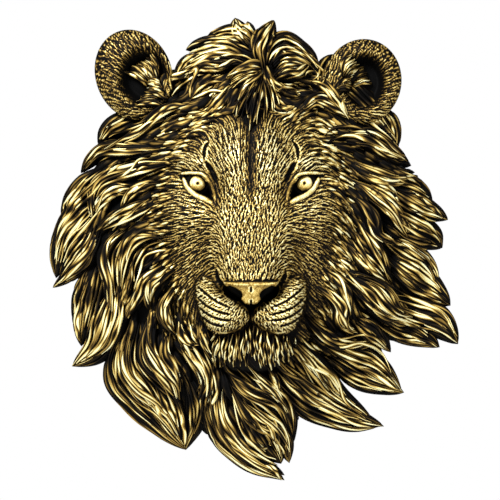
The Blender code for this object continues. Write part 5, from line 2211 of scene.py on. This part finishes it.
@dataclass(frozen=True)
class AntiquedGold:
    """Cast resin, painted near black, with gold paste rubbed over it by hand.

    The grooves keep the dark matt paint, and the ridges catch a soft metallic sheen, broken up where the
    paste skipped.

    Args:
        name: the material's name.
        colours: the ramp from bare paint to thick gold, as a share and a hex code.
        patch_mm: the size of the patches that the paste skipped.
        speck_mm: the size of its specks.
        grit_mm: the grain of the cast resin under it, as coarse as the render can show.
        pit_mm: how deep the grain is.
        drawn: how far patches and specks are drawn out along the hair, as a scale for each axis of the lay.
    """

    name: str = "antiqued_gold_resin"
    colours: tuple[tuple[float, str], ...] = (
        (0.0, "#010101"), (0.13, "#080503"), (0.26, "#302510"), (0.43, "#82672f"),
        (0.58, "#c0a255"), (0.71, "#edda8c"), (0.85, "#fffac6"),
    )
    patch_mm: float = 2.2
    speck_mm: float = 0.55
    grit_mm: float = 0.8
    pit_mm: float = 0.12
    drawn: tuple[float, float, float] = (1.0, 0.05, 1.0)

    def make(self) -> bpy.types.Material:
        """The material."""
        material, tree = blank(self.name)
        # The attribute read here holds the gold together with painted light and shade.
        gilt_light_and_shade = node(tree, "ShaderNodeAttribute", {}, attribute_name="gilt_light_and_shade")
        lay = node(tree, "ShaderNodeAttribute", {}, attribute_name="lay").outputs["Vector"]
        stretch = node(tree, "ShaderNodeVectorMath", {0: lay, 1: self.drawn}, operation="MULTIPLY").outputs[0]
        noise = "ShaderNodeTexNoise"
        patch = node(tree, noise, {"Vector": stretch, "Scale": 1 / self.patch_mm, "Detail": 3.0})
        speck = node(tree, noise, {"Vector": stretch, "Scale": 1 / self.speck_mm, "Detail": 2.0})
        both = node(tree, "ShaderNodeMath", {0: patch.outputs[0], 1: speck.outputs[0]}, operation="ADD")
        skip = node(tree, "ShaderNodeMapRange", {0: both.outputs[0], 1: 0.7, 2: 1.3, 3: 0.66, 4: 1.28})
        factors = {0: gilt_light_and_shade.outputs["Fac"], 1: skip.outputs[0]}
        rubbed = node(tree, "ShaderNodeMath", factors, operation="MULTIPLY")
        ramp = node(tree, "ShaderNodeValToRGB", {0: rubbed.outputs[0]})
        steps = ramp.color_ramp.elements
        while len(steps) < len(self.colours):
            steps.new(0.5)
        for step, (share, code) in zip(steps, self.colours):
            step.position = share
            step.color = rgba(code)
        metal = node(tree, "ShaderNodeMapRange", {0: rubbed.outputs[0], 1: 0.2, 2: 0.7, 3: 0.0, 4: 0.3})
        rough = node(tree, "ShaderNodeMapRange", {0: rubbed.outputs[0], 1: 0.1, 2: 0.8, 3: 0.7, 4: 0.36})
        place = node(tree, "ShaderNodeTexCoord", {}).outputs["Object"]
        grit = node(tree, noise, {"Vector": place, "Scale": 1 / (self.grit_mm * MM), "Detail": 2.0})
        pits = {"Height": grit.outputs[0], "Strength": 0.25, "Distance": self.pit_mm * MM}
        bump = node(tree, "ShaderNodeBump", pits)
        shader = node(
            tree,
            "ShaderNodeBsdfPrincipled",
            {
                "Base Color": ramp.outputs["Color"],
                "Metallic": metal.outputs[0],
                "Roughness": rough.outputs[0],
                "Normal": bump.outputs[0],
                "Specular IOR Level": 0.08,
            },
        )
        node(tree, "ShaderNodeOutputMaterial", {"Surface": shader.outputs[0]})
        return material


@dataclass(frozen=True)
class RawResin:
    """Unpainted grey-brown cast resin, trowelled flat: the matt back that faces the wall.

    Args:
        name: the material's name.
        light: its paler clouds.
        dark: its darker ones.
        cloud_mm: the clouds' size.
        grit_mm: the trowel's grit, as coarse as the render can show.
        pit_mm: how deep the grit is.
    """

    name: str = "raw_cast_resin"
    light: str = "#3a332b"
    dark: str = "#241f1a"
    cloud_mm: float = 14.0
    grit_mm: float = 0.9
    pit_mm: float = 0.2

    def make(self) -> bpy.types.Material:
        """The material."""
        material, tree = blank(self.name)
        place = node(tree, "ShaderNodeTexCoord", {}).outputs["Object"]
        scale = 1 / (self.cloud_mm * MM)
        cloud = node(tree, "ShaderNodeTexNoise", {"Vector": place, "Scale": scale, "Detail": 6.0})
        ramp = node(tree, "ShaderNodeValToRGB", {0: cloud.outputs[0]})
        for step, share, code in zip(ramp.color_ramp.elements, (0.35, 0.7), (self.dark, self.light)):
            step.position = share
            step.color = rgba(code)
        scale = 1 / (self.grit_mm * MM)
        grit = node(tree, "ShaderNodeTexNoise", {"Vector": place, "Scale": scale, "Detail": 3.0})
        pits = {"Height": grit.outputs[0], "Strength": 0.3, "Distance": self.pit_mm * MM}
        bump = node(tree, "ShaderNodeBump", pits)
        shader = node(
            tree,
            "ShaderNodeBsdfPrincipled",
            {"Base Color": ramp.outputs["Color"], "Roughness": 0.78, "Normal": bump.outputs[0]},
        )
        node(tree, "ShaderNodeOutputMaterial", {"Surface": shader.outputs[0]})
        return material


@dataclass(frozen=True)
class Studio:
    """A pale floor, a near-white room, two soft lights and the camera, square on to the face."""

    target: tuple[float, float, float] = (0.0, -0.008, (SHEET.mount[1] - SHEET.size / 2) * STEP)
    lens: float = 250.0
    sensor: float = 36.0
    floor_drop: float = 0.6
    floor_radius: float = 2.6
    floor_colour: str = "#e9e8e6"
    room_light: float = 0.1
    lamps: tuple[tuple, ...] = (
        ("key", (-0.9, -1.6, 1.3), 0.7, 86),
        ("fill", (1.3, -1.4, 0.2), 1.0, 17),
    )

    def floor(self) -> None:
        """A plain pale disc well below the head."""
        bm = bmesh.new()
        bmesh.ops.create_circle(bm, cap_ends=True, segments=96, radius=self.floor_radius)
        bmesh.ops.translate(bm, verts=bm.verts, vec=(0, 0, -self.floor_drop))
        mesh = mesh_from(bm, "floor")
        made = bpy.data.objects.new("floor", mesh)
        bpy.context.scene.collection.objects.link(made)
        material = bpy.data.materials.new("pale_floor")
        material.use_nodes = True
        shader = material.node_tree.nodes["Principled BSDF"]
        shader.inputs["Base Color"].default_value = rgba(self.floor_colour)
        shader.inputs["Roughness"].default_value = 0.7
        mesh.materials.append(material)

    def room(self) -> None:
        """Even light from all round, and a white ground to be seen against."""
        world = bpy.data.worlds.new("room")
        bpy.context.scene.world = world
        world.use_nodes = True
        tree = world.node_tree
        tree.nodes.clear()
        seen = node(tree, "ShaderNodeLightPath", {})
        levels = {0: seen.outputs["Is Camera Ray"], 3: self.room_light, 4: 1.0}
        strength = node(tree, "ShaderNodeMapRange", levels)
        back = node(tree, "ShaderNodeBackground", {"Color": rgba("#ffffff"), "Strength": strength.outputs[0]})
        node(tree, "ShaderNodeOutputWorld", {"Surface": back.outputs[0]})

    def lamp(self, name: str, place: tuple[float, float, float], size: float, power: float) -> None:
        """A soft square light that faces the head.

        Args:
            name: the light's name.
            place: where it is, in metres.
            size: how wide it is, in metres.
            power: its power, in watts.
        """
        light = bpy.data.lights.new(name, "AREA")
        light.size = size
        light.energy = power
        made = bpy.data.objects.new(name, light)
        bpy.context.scene.collection.objects.link(made)
        made.location = place
        made.rotation_mode = "QUATERNION"
        made.rotation_quaternion = (Vector(self.target) - Vector(place)).to_track_quat("-Z", "Y")

    def camera(self) -> None:
        """The camera, level with the head's middle, far enough off to see it without much perspective."""
        camera = bpy.data.cameras.new("camera")
        camera.lens = self.lens
        camera.sensor_width = self.sensor
        camera.clip_end = 20
        made = bpy.data.objects.new("camera", camera)
        bpy.context.scene.collection.objects.link(made)
        made.location = Vector(self.target) - Vector((0, self.lens / self.sensor * SHEET.size * STEP, 0))
        made.rotation_euler = (math.pi / 2, 0, 0)
        bpy.context.scene.camera = made

    def make(self) -> None:
        """All of it."""
        self.floor()
        self.room()
        for lamp in self.lamps:
            self.lamp(*lamp)
        self.camera()
        bpy.context.scene.view_settings.view_transform = "Standard"


def main() -> None:
    """Builds the head, gilds it and sets up the studio."""
    logging.basicConfig(level=logging.INFO, format="%(name)s: %(message)s")
    flow = Flow(ALL_LOCKS)
    surfaces = [Core().surface(), Face().surface(flow)]
    surfaces += Mane().surfaces(flow)
    surfaces += Ruff().surfaces(flow) + Chin().surfaces()
    surfaces += Strands().surfaces(Survey(surfaces))
    for ear in EARS:
        surfaces += ear.surfaces()
    surfaces += [Eye(side).surface() for side in Side]
    gilding = Gilding(Survey(surfaces))
    gold, raw = AntiquedGold().make(), RawResin().make()
    for surface in surfaces:
        gilding.rub(surface)
        surface.made.data.materials.append(gold)
        if surface.made.name == "core":
            surface.made.data.materials.append(raw)
        triangles = sum(len(p.vertices) - 2 for p in surface.made.data.polygons)
        LOG.info("%s: %d triangles", surface.made.name, triangles)
    Studio().make()


if __name__ == "__main__":
    main()
